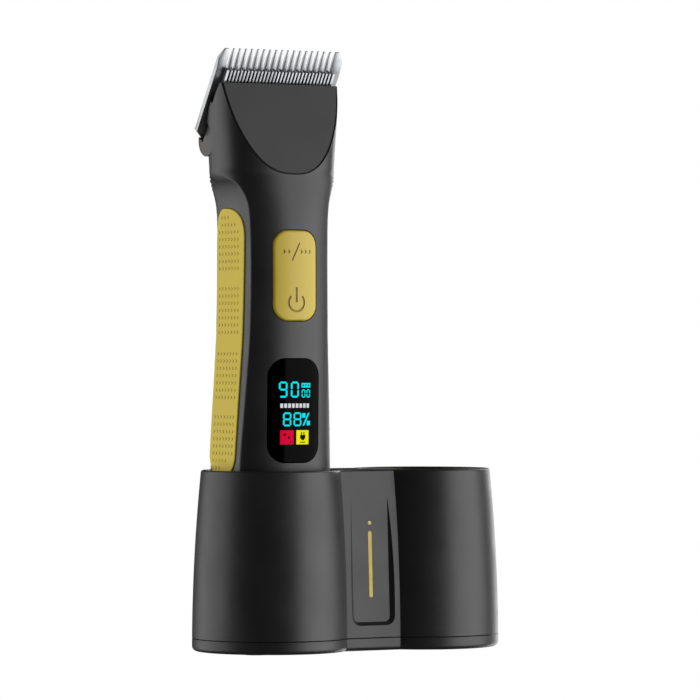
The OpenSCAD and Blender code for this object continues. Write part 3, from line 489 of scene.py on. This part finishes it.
# %% [markdown]
# ## The panel pressed into the web
# A shallow panel with 45 degree walls is sunk into the web. It is level with the face at its top
# and 1.3 mm deep at its foot, and its lower corners are round. A clear bar and a dot sit in it.

# %% Panel, bar, dot, inlet and pin holes
panel_tilt = math.degrees(math.atan((float(web_front(panel_bottom)) - panel_depth
                                     - float(web_front(panel_top))) / (panel_top - panel_bottom)))
panel_at = (0, -float(web_front(panel_top)), panel_top)
slope_cos = math.cos(math.radians(panel_tilt))
panel_len = (panel_top - panel_bottom) / slope_cos


def panel_ring(reach):
    """Outline of the panel grown by reach, with round lower corners, in the panel's plane."""
    w, low, r = panel_half_w + reach, 2 - panel_len - reach, 2.0 + reach
    return np.concatenate([[[-w, 4.0]], arc((-w + r, low + r), r, 180, 270, 9),
                           arc((w - r, low + r), r, 270, 360, 9), [[w, 4.0]]])


rings = [place(along_y(*panel_ring(reach).T, np.full(20, float(-reach))), panel_at, -panel_tilt)
         for reach in (0, 6)]
combine(stand, outward(tube("panel", np.stack(rings))))


def panel_z(z):
    """Distance along the panel's floor from its top to a height."""
    return (z - panel_top) / slope_cos


def light_pipe_shape(name, width, height, z, front, back):
    """A bar with round ends, standing on the panel's plane between two depths."""
    outline = rounded_box(width, height, width / 2 - 0.01, 8) + [0, panel_z(z)]
    rings = [place(along_y(*outline.T, np.full(len(outline), float(d))), panel_at, -panel_tilt)
             for d in (front, back)]
    return outward(tube(name, np.stack(rings)))


for name, length, z in (("bar", bar_len, bar_z), ("dot", bar_w, dot_z)):
    combine(stand, light_pipe_shape(name + "_slot", bar_w + 0.2, length + 0.2, z, -4, 2.7))
    pipe = light_pipe_shape("indicator_" + name + "_pipe", bar_w, length, z, 0.02, 2.6)
    finish_piece(pipe, "stand", ["indicator_" + name], material=light_pipe)
combine(stand, prism("inlet", rounded_box(9.3, 3.6, 1.79, 8) + [0, inlet_z], 10, 24, along_y))
for x in (-35, -27, 27, 35):
    combine(stand, lathe("pin_hole", [[1.05, 10], [1.05, 17]], (x, 0), 32))
finish_piece(stand, "stand", ["stand_casing"], material=charcoal)

# %% [markdown]
# ## The stand's base
# The base closes the casing from below. A fine seam 0.1 mm wide shows where they meet, and the
# base's lower edge is rounded by 1.8 mm. The rubber pads hold it 0.3 mm above the table.

# %% Base
foot_h, base_t, screw_seat = 0.3, 2.4, 1.9
base = stand_solid("stand_base_shell", foot_h, seam_h, 1.8, 0.25)
inside = stand_solid("base_inside", foot_h + base_t, 12, 0.5, 0)
inside.data.transform(Matrix.Diagonal((0.92, 0.86, 1, 1)))
combine(base, inside)
pad_at, screw_at = (44, 13), (31, 18.5)
for sx, sy in ((-1, -1), (-1, 1), (1, -1), (1, 1)):
    pad_spot, screw_spot = (sx * pad_at[0], sy * pad_at[1]), (sx * screw_at[0], sy * screw_at[1])
    combine(base, lathe("pad_seat", [[5.1, 0], [5.1, 1.0]], pad_spot, 48))
    combine(base, lathe("screw_seat", [[2.9, 0], [2.9, screw_seat]], screw_spot, 48))
    combine(base, lathe("screw_hole", [[1.7, screw_seat - 0.4], [1.7, 6]], screw_spot, 32))
finish_piece(base, "stand", ["stand_base"], material=charcoal)

# %% [markdown]
# ## The handpiece's skin
# The casing is lofted through sixteen sections. A section is a superellipse, a little fuller than
# an ellipse, cut off by a flat on each side. Its exponent is 2.5 at the back, and at the front it
# runs from 2.2 in the hand to 2.7 on the head, where the front is flatter. The table gives each
# section's height and its half-widths and depths as shares of the waist's. Between its rows a
# Hermite curve keeps the slope smooth, so the highlight runs down the casing without a kink.

# %% Sections of the handpiece
body_len, waist_half_w, round_half_w, front_d, back_d = 185.9, 15.6, 24.0, 16.5, 16.8
back_power = 2.5
hand_at = np.array([-cup_pitch / 2, 0, well_floor + 0.1])
sections = np.array([
    [0, 1.128, 0.917, 1, 0.964, 2.2], [0.134, 1.167, 0.917, 1.02, 1, 2.2],
    [0.263, 1.18, 0.917, 1.04, 1, 2.2], [0.376, 1.115, 0.917, 1.065, 0.952, 2.2],
    [0.457, 1.058, 0.917, 1.08, 0.923, 2.2], [0.521, 1.019, 0.917, 1.09, 0.887, 2.2],
    [0.597, 1.003, 0.917, 1.1, 0.869, 2.2], [0.677, 1, 0.917, 1.095, 0.857, 2.2],
    [0.742, 1.019, 0.92, 1.075, 0.827, 2.25], [0.777, 1.077, 0.93, 1.05, 0.833, 2.35],
    [0.806, 1.237, 0.94, 1.025, 0.857, 2.5], [0.822, 1.397, 0.938, 1.012, 0.875, 2.6],
    [0.839, 1.54, 0.936, 1.006, 0.893, 2.65], [0.876, 1.7, 0.95, 1, 0.929, 2.7],
    [0.941, 1.8, 0.992, 1, 0.929, 2.7], [1.03, 1.9, 1.01, 1, 0.929, 2.7]])


def section_at(z):
    """Half-widths and depths at a height, by cubic Hermite between the table's rows."""
    s = np.atleast_1d(np.asarray(z, float)) / body_len
    h = sections[:, 0]
    i = np.clip(np.searchsorted(h[1:-1], s, side="right"), 0, len(h) - 2)
    rows = np.arange(len(h))
    before, after = np.maximum(rows - 1, 0), np.minimum(rows + 1, len(h) - 1)
    slope = (sections[after] - sections[before]) / (h[after] - h[before])[:, None]
    span = (h[i + 1] - h[i])[:, None]
    t = (s - h[i])[:, None] / span
    row = ((2 * t ** 3 - 3 * t ** 2 + 1) * sections[i]
           + (t ** 3 - 2 * t ** 2 + t) * span * slope[i]
           + (3 * t ** 2 - 2 * t ** 3) * sections[i + 1] + (t ** 3 - t ** 2) * span * slope[i + 1])
    return (row[:, 1] * waist_half_w, row[:, 2] * round_half_w, row[:, 3] * front_d,
            row[:, 4] * back_d, row[:, 5])


def front_y(x, z):
    """Depth of the front at (x, z): front (1 - |x / wide|^n)^(1 / n), towards -Y."""
    flat, wide, front, back, n = section_at(z)
    return -front * np.maximum(1 - np.abs(x / wide) ** n, 1e-4) ** (1 / n)


def side_x(y, z):
    """Half-width at (y, z): the side flat, or wide (1 - |y / depth|^n)^(1 / n) where less."""
    flat, wide, front, back, n = section_at(z)
    depth = np.where(np.asarray(y) < 0, front, back)
    n = np.where(np.asarray(y) < 0, n, back_power)
    return np.minimum(flat, wide * np.maximum(1 - np.abs(y / depth) ** n, 1e-4) ** (1 / n))


def skin_ring(z, inset, count):
    """One section with points spaced evenly along it, its two creases eased by 1-2-1 averaging."""
    *sizes, front_power = (float(v[0]) for v in section_at(z))
    flat, wide, front, back = (size - inset for size in sizes)
    halves = []
    for n, way, depth in ((back_power, 1, back), (front_power, -1, -front)):
        cut = math.acos((flat / wide) ** (n / 2)) if flat < wide else 0
        t0 = max(cut, math.radians(3))
        t = np.linspace(t0, np.pi - t0, 120)
        halves.append(np.stack([way * wide * np.sign(np.cos(t)) * np.abs(np.cos(t)) ** (2 / n),
                                depth * np.sin(t) ** (2 / n)], -1))
    path = np.concatenate([*halves, halves[0][:1]])
    run = np.concatenate([[0], np.cumsum(np.hypot(*np.diff(path, axis=0).T))])
    at = np.linspace(0, run[-1], count, endpoint=False)
    even = np.stack([np.interp(at, run, path[:, k]) for k in (0, 1)], -1)
    even = (np.roll(even, 1, 0) + 2 * even + np.roll(even, -1, 0)) / 4
    return np.column_stack([even, np.full(count, float(z))])


def skin(name, z0, z1, inset=0.0, step=1.5, count=240):
    """Closed solid of the handpiece between two heights of its own, drawn in by inset."""
    z = np.linspace(z0, z1, int(math.ceil((z1 - z0) / step)) + 1)
    return tube(name, np.stack([skin_ring(h, inset, count) for h in z]) + hand_at)


# %% [markdown]
# ## Frames of the head
# The flat face leans back by 17.2 degrees and the blade by 34.4 degrees, which is twice as much.
# Each cut on the head is a half-space in one of these two frames.

# %% Cutting shapes of the head
face_lean, face_top_y, head_top, blade_lean = 17.2, -6.7, body_len - 0.1, 34.4
face_at = hand_at + [0, face_top_y, head_top]
tip_y, tip_z, hinge_yl, hinge_zl = -8.3, body_len + 12, -5.5, -34.8
blade_at = hand_at + [0, tip_y, tip_z]
heel_r, seat_yl, cutter_low, cover_t, cover_low = 5.8, -3.0, -18.6, 2.2, body_len - 33
hinge_at = place(np.array([0, hinge_yl, hinge_zl]), blade_at, blade_lean)


def before_face(depth):
    """All that lies in front of the plane depth behind the head's flat face."""
    return block("before_face", (-50, depth - 60, -90), (50, depth, 40), face_at, -face_lean)


def bar_along_x(name, radius, half, centre, count=96):
    """A round bar along X."""
    ring = arc((centre[1], centre[2]), radius, 0, 360 - 360 / count, count)
    return prism(name, ring, centre[0] - half, centre[0] + half, along_x)


def cut_blade_space(obj, grow=0.0):
    """Takes the room for the blade and its heel out of a solid."""
    combine(obj, block("seat", (-40, seat_yl - grow, hinge_zl - heel_r - 0.3), (40, 50, 45),
                       blade_at, blade_lean))
    combine(obj, block("step", (-40, seat_yl - 1.6 - grow, cutter_low - 1.6 - grow), (40, 50, 40),
                       blade_at, blade_lean))
    combine(obj, block("leg_way", (-19, -5.3 - grow, -31), (19, 50, 29), blade_at, blade_lean))
    return combine(obj, bar_along_x("heel", heel_r + 0.3 + grow, 45, hinge_at))


# %% [markdown]
# ## Outlines that lie on the skin
# The grips, the key and the window are cushions: their edge is a flat outline and their top follows
# the skin. An outline is shrunk towards a spine in steps, and each step is laid on the skin with
# one formula. A quarter circle rounds the edge between the wall and the top.

# %% Cushions on the skin
def on_front(u, v, lift):
    """A point of the front at (x, z) = (u, v), raised by lift."""
    return np.stack([u, front_y(u, v.ravel()).reshape(u.shape) - lift, v], -1) + hand_at


def on_side(side):
    """The same for a side: (y, z) = (u, v), raised by lift away from the axis."""
    def to_space(u, v, lift):
        x = side_x(u.ravel(), v.ravel()).reshape(u.shape)
        return np.stack([side * (x + lift), u, v], -1) + hand_at
    return to_space


def cushion(name, outline, to_space, top, bottom, edge=0.4, rows=26, centre=None):
    """Closed solid over an outline: bottom, wall, rounded edge and a top of shrunk rings."""
    outline = np.asarray(outline, float)
    centre = outline.mean(0) if centre is None else np.asarray(centre, float)
    tangent = np.roll(outline, -1, 0) - np.roll(outline, 1, 0)
    normal = np.stack([tangent[:, 1], -tangent[:, 0]], -1)
    normal /= np.linalg.norm(normal, axis=1)[:, None]
    a = np.radians(np.linspace(0, 90, 6))
    inner = outline - normal * edge
    flats = [(outline, bottom)] + [(outline - normal * edge * (1 - math.cos(t)),
                                    top - edge * (1 - math.sin(t))) for t in a]
    share = np.linspace(1, 0.02, rows)[1:]
    flats += [(centre + (inner - centre) * s, top) for s in share]
    rings = np.stack([to_space(f[:, 0], f[:, 1], np.full(len(f), float(d))) for f, d in flats])
    under = np.full(len(outline), float(bottom))
    low = np.stack([to_space(*(centre + (outline - centre) * s).T, under)
                    for s in np.linspace(0.02, 1, 14)[:-1]])
    return outward(tube(name, np.concatenate([low, rings])))


def quarter(centre, half_w, half_h, start, exponent, count=14):
    """A quarter of a superellipse about centre, from start degrees on, counter-clockwise."""
    a = np.radians(np.linspace(start, start + 90, count))
    c, s = np.cos(a), np.sin(a)
    return np.stack([centre[0] + half_w * np.sign(c) * np.abs(c) ** (2 / exponent),
                     centre[1] + half_h * np.sign(s) * np.abs(s) ** (2 / exponent)], -1)


def evened(outline, spacing):
    """The same closed outline with points evenly spaced along it."""
    path = np.concatenate([outline, outline[:1]])
    run = np.concatenate([[0], np.cumsum(np.hypot(*np.diff(path, axis=0).T))])
    at = np.linspace(0, run[-1], int(run[-1] / spacing), endpoint=False)
    return np.stack([np.interp(at, run, path[:, k]) for k in (0, 1)], -1)


def grown(outline, by):
    """An outline moved out along its normals."""
    tangent = np.roll(outline, -1, 0) - np.roll(outline, 1, 0)
    normal = np.stack([tangent[:, 1], -tangent[:, 0]], -1)
    return outline + by * normal / np.linalg.norm(normal, axis=1)[:, None]


grip_centre = (2.4, 94)
key_z, window_z = 118, 70.5
grip_shape = evened(np.concatenate([
    arc((1.9, 55.5), 9.5, 180, 360, 30), quarter((3.9, 131.9), 6.4, 10.0, 0, 2.3),
    quarter((3.9, 131.9), 13.6, 10.0, 90, 2.4)[1:]]), 0.7)
key_shape = evened(rounded_box(17.3, 31.8, 5.5, 12) + [0, key_z], 0.6)
window_shape = evened(rounded_box(20.6, 36.8, 6.5, 12) + [0, window_z], 0.6)
print("outline points:", len(grip_shape), len(key_shape), len(window_shape))

# %% [markdown]
# ## Casing halves
# One solid is cut from the skin, then split at the parting line into the front and the back half.
# The hollow inside is the same skin drawn in by the wall. The room for the head's cover follows the
# edge of the flat face, so the seam round the cover lies on that edge.

# %% Casing
def face_outline():
    """The edge of the flat face, where the skin's front meets the face's plane, as (x, height)."""
    down = np.linspace(6, -36, 270)
    y = face_top_y + down * math.sin(math.radians(face_lean))
    z = head_top + down * math.cos(math.radians(face_lean))
    flat, wide, front, back, n = section_at(z)
    half = np.minimum(flat, wide * np.maximum(1 - np.abs(y / front) ** n, 0) ** (1 / n))
    keep = half > 0.5
    half, down = half[keep], down[keep]
    side = np.stack([half, down], -1)
    return evened(np.concatenate([side[::-1], side * [-1, 1]]), 0.5)


def face_tube(name, levels):
    """The face's outline carried through levels of (depth, inset), drawn in by the inset."""
    rings = []
    for depth, inset in levels:
        x, height = grown(face_edge, -inset).T
        rings.append(place(along_y(x, height, np.full(len(x), depth)), face_at, -face_lean))
    return outward(tube(name, np.stack(rings)))


def hand_prism(name, outline, depth0, depth1):
    """Extrudes an outline (x, z) of the handpiece along Y."""
    return prism(name, outline, depth0, depth1, lambda u, v, d: along_y(u, v, d) + hand_at)


face_edge = face_outline()
shell = skin("casing_shell", 2.1, head_top)
combine(shell, before_face(0))
combine(shell, face_tube("cover_room", [(-1, -0.12), (cover_t + gap, -0.12)]))
cut_blade_space(shell)
for side in (-1, 1):
    combine(shell, cushion("grip_room", grown(grip_shape, 0.22), on_side(side), 4, -1.0, edge=0.01,
                           rows=12, centre=grip_centre))
body_wall, latch_z, part_line_y, half_seam = 2, 150.0, 9.0, 0.06
hollow = skin("hollow", 1, head_top - body_wall, inset=body_wall, step=4, count=140)
hollow_front = before_face(cover_t + 1.6)
combine(hollow_front, block("above", (-60, -60, cover_low), (60, 60, 260), hand_at), "INTERSECT")
combine(hollow, hollow_front)
cut_blade_space(hollow, 1.8)
combine(hollow, block("latch_block", (-8, 11, latch_z - 4), (8, 31, latch_z + 26), hand_at))
combine(shell, hollow)
combine(shell, block("drive_opening", (-19, -7.6, -31), (19, 52, -14.4), blade_at, blade_lean))
for shape, clear in ((key_shape, 0.3), (window_shape, 0.1)):
    combine(shell, hand_prism("front_room", grown(shape, clear), -24, -12))
back = shell.copy()
back.data = shell.data.copy()
bpy.context.scene.collection.objects.link(back)
back.name = "back_casing_shell"
combine(shell, block("front_side", (-60, -90, -20), (60, part_line_y - half_seam, 240), hand_at),
        "INTERSECT")
combine(back, block("back_side", (-60, part_line_y + half_seam, -20), (60, 90, 240), hand_at),
        "INTERSECT")
ear_r, ear_half = 2.3, 1.5
for ear_x in (-10.5, 10.5):
    spot = hinge_at + [ear_x, 0, 0]
    ear = bar_along_x("ear", ear_r, ear_half, spot, 40)
    combine(ear, block("ear_root", (ear_x - ear_half, -heel_r - 1, -ear_r),
                       (ear_x + ear_half, 0, ear_r), hinge_at, blade_lean), "UNION")
    combine(ear, bar_along_x("ear_hole", 1.3, 9, spot, 32))
    combine(shell, ear, "UNION")
finish_piece(shell, "handpiece", ["front_casing"], material=charcoal)
combine(back, block("latch_room", (-6.3, 13.2, latch_z - 0.3), (6.3, 34, latch_z + 11.8), hand_at))
combine(back, block("latch_slot", (-2.5, 0, latch_z + 1), (2.5, 20, latch_z + 8.5), hand_at))
for spot in ((11.9, 84.5), (-11.9, 84.5), (12.5, 148), (-12.5, 148)):
    combine(back, hand_prism("screw_room", arc(spot, 2.2, 0, 348.75, 32), part_line_y + 2.2, 30))
finish_piece(back, "handpiece", ["back_casing"], material=charcoal)

# %% [markdown]
# ## Head cover
# The cover is the flat face of the head. Its rim is chamfered at 45 degrees, 0.9 mm wide, which
# draws a dark line round the face because the chamfer looks away from the lamps.

# %% Cover
cover = skin("head_cover_plate", cover_low - 8, head_top, step=1.0)
combine(cover, before_face(cover_t), "INTERSECT")
combine(cover, before_face(0))
combine(cover, face_tube("chamfer", [(-0.5, 1.15), (0.65, 0.0), (3, 0.0)]), "INTERSECT")
cut_blade_space(cover)
finish_piece(cover, "handpiece", ["head_cover"], material=charcoal_flat)

# %% [markdown]
# ## Grips and their chevrons
# The grips are soft rubber moulded over the hard casing. Rows of small chevrons are sunk 0.35 mm
# into them. Real tools for such a pattern are milled, so every chevron has the same size. They are
# set 2.25 mm apart along the grip's width and 2.57 mm down its length, in four groups.

# %% Grips
def chevron(u, v, depth_to, to_space):
    """A V lying on its side, its point towards the front, as a closed prism."""
    shape = np.array([[-0.6, 0.0], [0.3, 0.62], [0.6, 0.62], [-0.15, 0.0], [0.6, -0.62],
                      [0.3, -0.62]])
    u, v = shape[:, 0] + u, shape[:, 1] + v
    return [to_space(u, v, np.full(6, float(d))) for d in (1.6, depth_to)]


groups = [(138.6, 8, {0: (3, 6), 1: (1, 6)}), (113.5, 7, {}), (90.5, 7, {}),
          (68.2, 8, {6: (2, 7), 7: (4, 7)})]
across, down = 2.25, 2.57
places = []
for top, rows, short in groups:
    for row in range(rows):
        first, last = short.get(row, (0, 7))
        places += [(-5.2 + across * i, top - down * row) for i in range(first, last)]
print("chevrons on each grip:", len(places))


def many_prisms(name, pairs):
    """One mesh of many separate prisms, each from two rings of the same count."""
    n = len(pairs[0][0])
    points = np.array(pairs).reshape(-1, 3)
    one = [list(range(n)), list(range(2 * n - 1, n - 1, -1))] + [
        [n + k, n + (k + 1) % n, (k + 1) % n, k] for k in range(n)]
    faces = [[i + 2 * n * k for i in face] for k in range(len(pairs)) for face in one]
    return outward(new_object(name, points, faces))


# Darker yellow for the walls and floors of the sunk chevrons: painted shade in the recesses.
chevron_painted_shade = moulded("yellow_rubber_recess_painted_shade", "#b0922a", "#bb9d33", 0.7, relief_mm=0.004)


def engrave(obj, tool, floor):
    """Cuts tool out of obj and gives the cut's walls and floors the darker floor: painted shade."""
    tool.data.materials.clear()
    tool.data.materials.append(floor)
    cut = obj.modifiers.new("engrave", "BOOLEAN")
    cut.operation, cut.solver, cut.object = "DIFFERENCE", "EXACT", tool
    cut.material_mode = "TRANSFER"
    apply_modifiers(obj)
    bpy.data.objects.remove(tool)
    return obj


for side, name in ((-1, "grip_left"), (1, "grip_right")):
    grip = cushion(name + "_rubber", grip_shape, on_side(side), 0.5, -0.9, edge=0.45, rows=30,
                   centre=grip_centre)
    grip.data.materials.append(yellow_tpe)
    pairs = [chevron(u, v, 0.12, on_side(side)) for u, v in places]
    engrave(grip, many_prisms("chevrons", pairs), chevron_painted_shade)
    finish_piece(grip, "handpiece", [name], angle=40)

# %% [markdown]
# ## Key and window
# The rocker key is moulded in hard yellow plastic and has a sign sunk into each end: arrows for
# faster and a ring with a bar for the switch. The window is a polished dark plate, flush with
# the skin, and the display shines through it.

# %% Key
def stroke(points, width):
    """Outline of a thick open line: its points moved left and right by half the width."""
    p = np.asarray(points, float)
    d = np.gradient(p, axis=0)
    n = np.stack([-d[:, 1], d[:, 0]], -1) / np.linalg.norm(d, axis=1)[:, None] * width / 2
    return np.concatenate([p + n, (p - n)[::-1]])


def angle_stroke(x, z, half, width, reach):
    """An arrow head: two arms that meet in a point at the right."""
    return np.array([[x, z + half], [x + width, z + half], [x + reach + width, z],
                     [x + width, z - half], [x, z - half], [x + reach, z]])


key = cushion("rocker_key_cap", key_shape, on_front, 0.5, -1.4, edge=0.85, rows=24)
key.data.materials.append(yellow_abs)
signs = [angle_stroke(x, 126.4, 0.65, 0.5, 0.5) for x in (-5.2, -3.4, 1.6, 3.3, 5.0)]
signs.append(stroke([[1.3, 129.5], [-1.7, 123.3]], 0.5))
signs.append(stroke(arc((0, 108.5), 3.1, 135, 405, 40), 0.75))
signs.append(stroke([[0, 108.6], [0, 113.9]], 0.75))
# Each sign's walls and floor take the darker yellow, painted shade in the recess.
for sign in signs:
    rings = [on_front(sign[:, 0], sign[:, 1], np.full(len(sign), float(d))) for d in (0.25, 2)]
    engrave(key, outward(tube("sign", np.stack(rings))), engraving_painted_shade)
hub = block("key_hub", (-8.1, -17.0, key_z - 1.7), (8.1, -11.4, key_z + 1.7), hand_at)
combine(key, hub, "UNION")
finish_piece(key, "key", ["rocker_key"], angle=40)

window = cushion("display_lens", window_shape, on_front, 0.0, -1.3, edge=0.35, rows=24)
finish_piece(window, "handpiece", ["display_window"], material=dark_window)

# %% [markdown]
# ## What the display shows
# Digits are drawn from the seven usual segments, each a bar with pointed ends. A lit element is a
# plate 0.03 mm thick, laid on the window, so that it looks as bright as one shining through.

# %% Display
def segment_bar(x0, z0, x1, z1, width):
    """A bar with pointed ends from one point to another."""
    a, b = np.array([x0, z0]), np.array([x1, z1])
    d = (b - a) / np.linalg.norm(b - a)
    n = np.array([-d[1], d[0]]) * width / 2
    p, q = a + d * width * 0.6, b - d * width * 0.6
    return np.array([a + d * width * 0.1, p - n, q - n, b - d * width * 0.1, q + n, p + n])


def digit(text, x, z, width, height, thick):
    """The segments of a digit whose lower left corner is at (x, z)."""
    w, h, mid = width, height, z + height / 2
    ends = {"a": (x, z + h, x + w, z + h), "b": (x + w, mid, x + w, z + h),
            "c": (x + w, z, x + w, mid), "d": (x, z, x + w, z), "e": (x, z, x, mid),
            "f": (x, mid, x, z + h), "g": (x, mid, x + w, mid)}
    lit = {"0": "abcdef", "8": "abcdefg", "9": "abcdfg"}[text]
    return [segment_bar(*ends[k], thick) for k in lit]


def plates(name, outlines, material, lift=0.01):
    """Thin plates on the window from outlines that have the same number of points."""
    pairs = [[on_front(o[:, 0], o[:, 1], np.full(len(o), float(d))) for d in (lift, lift + 0.03)]
             for o in outlines]
    made = many_prisms(name, pairs)
    return finish_piece(made, "handpiece", [], material=material)


def rect(x0, z0, x1, z1):
    """A rectangle between two corners, counter-clockwise."""
    return np.array([[x0, z0], [x1, z0], [x1, z1], [x0, z1]], float)


def tile(x0, z0, x1, z1, strips=8):
    """A wide rectangle as narrow strips side by side, so that it bends with the window."""
    edges = np.linspace(x0, x1, strips + 1)
    return [rect(a, z0, b, z1) for a, b in zip(edges[:-1], edges[1:])]


def number(name, text, xs, z, width, height, thick):
    """The digits of a number, each with its lower left corner at one of xs."""
    lit = [bar for letter, x in zip(text, xs) for bar in digit(letter, x, z, width, height, thick)]
    plates(name, lit, cyan_lit)


number("display_speed", "90", (-6.0, -1.45), 75.4, 2.6, 5.0, 0.66)
number("display_length", "88", (-4.4, -0.3), 65.3, 2.6, 4.3, 0.6)
number("display_step", "00", (2.8, 4.85), 75.25, 1.2, 2.5, 0.4)
plates("display_box", tile(2.55, 78.6, 6.3, 80.2), cyan_lit)
plates("display_share", [rect(2.9, 68.0, 4.3, 69.6), rect(4.9, 65.3, 6.3, 66.9),
                         np.array([[3.1, 65.2], [3.8, 65.2], [6.1, 69.7], [5.4, 69.7]])], cyan_lit)
plates("display_level", [rect(x, 71.5, x + 1.05, 73.0) for x in np.arange(-5.75, 5.6, 1.5)],
       white_lit)
plates("display_tile_left", tile(-5.7, 58.6, -0.5, 63.6), red_lit)
plates("display_tile_right", tile(0.6, 58.6, 5.7, 63.6), yellow_lit)
plug = (tile(2.1, 60.6, 4.3, 61.9, 4) + [rect(2.5, 61.9, 2.9, 63.0), rect(3.5, 61.9, 3.9, 63.0)]
        + tile(2.6, 60.1, 3.8, 60.6, 2) + tile(2.1, 59.2, 4.3, 59.5, 4))
drops = [np.array([[-4.6, 61.9], [-4.0, 61.5], [-3.4, 62.1], [-4.0, 62.6]]),
         np.array([[-2.9, 60.9], [-2.2, 60.3], [-2.0, 61.3], [-2.5, 61.7]]),
         np.array([[-2.0, 59.3], [-1.5, 59.3], [-1.5, 59.8], [-2.0, 59.8]])]
plates("display_marks", plug + drops, dark_window, 0.05)
plates("display_box_marks", [rect(x, 79.1, x + 0.5, 79.7) for x in (3.0, 4.1, 5.2)], dark_window,
       0.05)

# %% [markdown]
# ## Blade and the other visible parts
# These parts are ground, stamped or turned, so flat faces and true rounds are right for them. The
# frame's own meshes are used, with their sharp edges taken off as a real edge is.

# %% Blade, latch and fittings
# node: material, rounding of its edges in mm, steps in the rounding
fittings = {"comb_blade": (comb_steel, 0.16, 2), "cutter_blade": (cutter_steel, 0.08, 1),
            "hinge_heel": (browned, 0.35, 3), "blade_socket": (plated_steel, 0.08, 1),
            "tension_spring": (spring_steel, 0.06, 1), "cutter_guide": (black_abs, 0.12, 2),
            "blade_screws": (plated_steel, 0.15, 2), "hinge_tongue": (plated_steel, 0.1, 2),
            "latch_button": (black_abs, 0.4, 3), "end_cap": (black_abs, 0.3, 2),
            "foot_pads": (foot_rubber, 0.3, 3), "base_screws": (plated_steel, 0.2, 2),
            "casing_screws": (plated_steel, 0.15, 2), "clipper_pins": (gilt, 0.1, 2),
            "spare_pins": (gilt, 0.1, 2), "power_inlet": (plated_steel, 0.1, 2),
            "drive_lever": (cream_abs, 0.25, 2)}
for node, (material, width, segments) in fittings.items():
    softened(node, material, width, segments)

# %% [markdown]
# ## Finishes of the parts inside
# Each part inside keeps its own mesh and gets the finish of the stuff it is made of.

# %% Materials of the inner parts
inner = {"stand_board": board_green, "indicator_board": board_green, "main_board": board_green,
         "pin_blocks": black_abs, "battery_cradle": black_abs, "key_switches": black_abs,
         "display_panel": display_back, "battery_cell": cell_film, "motor_can": motor_steel,
         "motor_end_bell": cream_abs, "motor_shaft": plated_steel, "crank": cream_abs,
         "drive_frame": cast_alloy, "frame_screws": plated_steel, "lever_pin": plated_steel,
         "hinge_pin": plated_steel, "key_pin": plated_steel, "charge_contacts": gilt}
for name, material in inner.items():
    mesh = frame["nodes"][name].data
    mesh.materials.clear()
    mesh.materials.append(material)
print("inner parts:", len(inner))

# %% [markdown]
# ## Backdrop and lamps
# The object stands in white, as a cut-out does. Only camera rays see the white. The light comes
# from two tall soft boxes, left and right, which leave the middle of each round wall dark. A narrow
# third one behind draws a thin light line down the right edges.

# %% Studio
world = bpy.data.worlds.new("studio")
bpy.context.scene.world = world
world.use_nodes = True
tree = world.node_tree
tree.nodes.clear()
path = add(tree, "ShaderNodeLightPath")
seen = add(tree, "ShaderNodeBackground", Color=(1, 1, 1, 1), Strength=1.0)
fill = add(tree, "ShaderNodeBackground", Color=(1, 1, 1, 1), Strength=0.08)
mix = add(tree, "ShaderNodeMixShader", links={0: path.outputs["Is Camera Ray"], 1: fill.outputs[0],
                                              2: seen.outputs[0]})
add(tree, "ShaderNodeOutputWorld", links={"Surface": mix.outputs[0]})


def soft_box(name, azimuth, distance, height, size, power_w):
    """An area lamp facing the object, at an azimuth from the camera, positive to the right."""
    data = bpy.data.lights.new(name, "AREA")
    data.shape, data.size, data.size_y, data.energy = "RECTANGLE", size[0], size[1], power_w
    lamp = bpy.data.objects.new(name, data)
    bpy.context.scene.collection.objects.link(lamp)
    turn = math.radians(azimuth) - view_left
    spot = Vector((math.sin(turn) * distance, -math.cos(turn) * distance, height))
    lamp.location = spot
    lamp.rotation_mode = "QUATERNION"
    lamp.rotation_quaternion = (spot - Vector((0, 0, 0.1))).to_track_quat("Z", "Y")
    return lamp


soft_box("left_box", -98, 1.5, 0.1, (1.9, 2.1), 21)
soft_box("right_box", 77, 1.5, 0.1, (1.8, 2.1), 35)
soft_box("rim_box", 152, 1.3, 0.12, (0.5, 1.8), 10)
bpy.context.scene.view_settings.view_transform = "Standard"
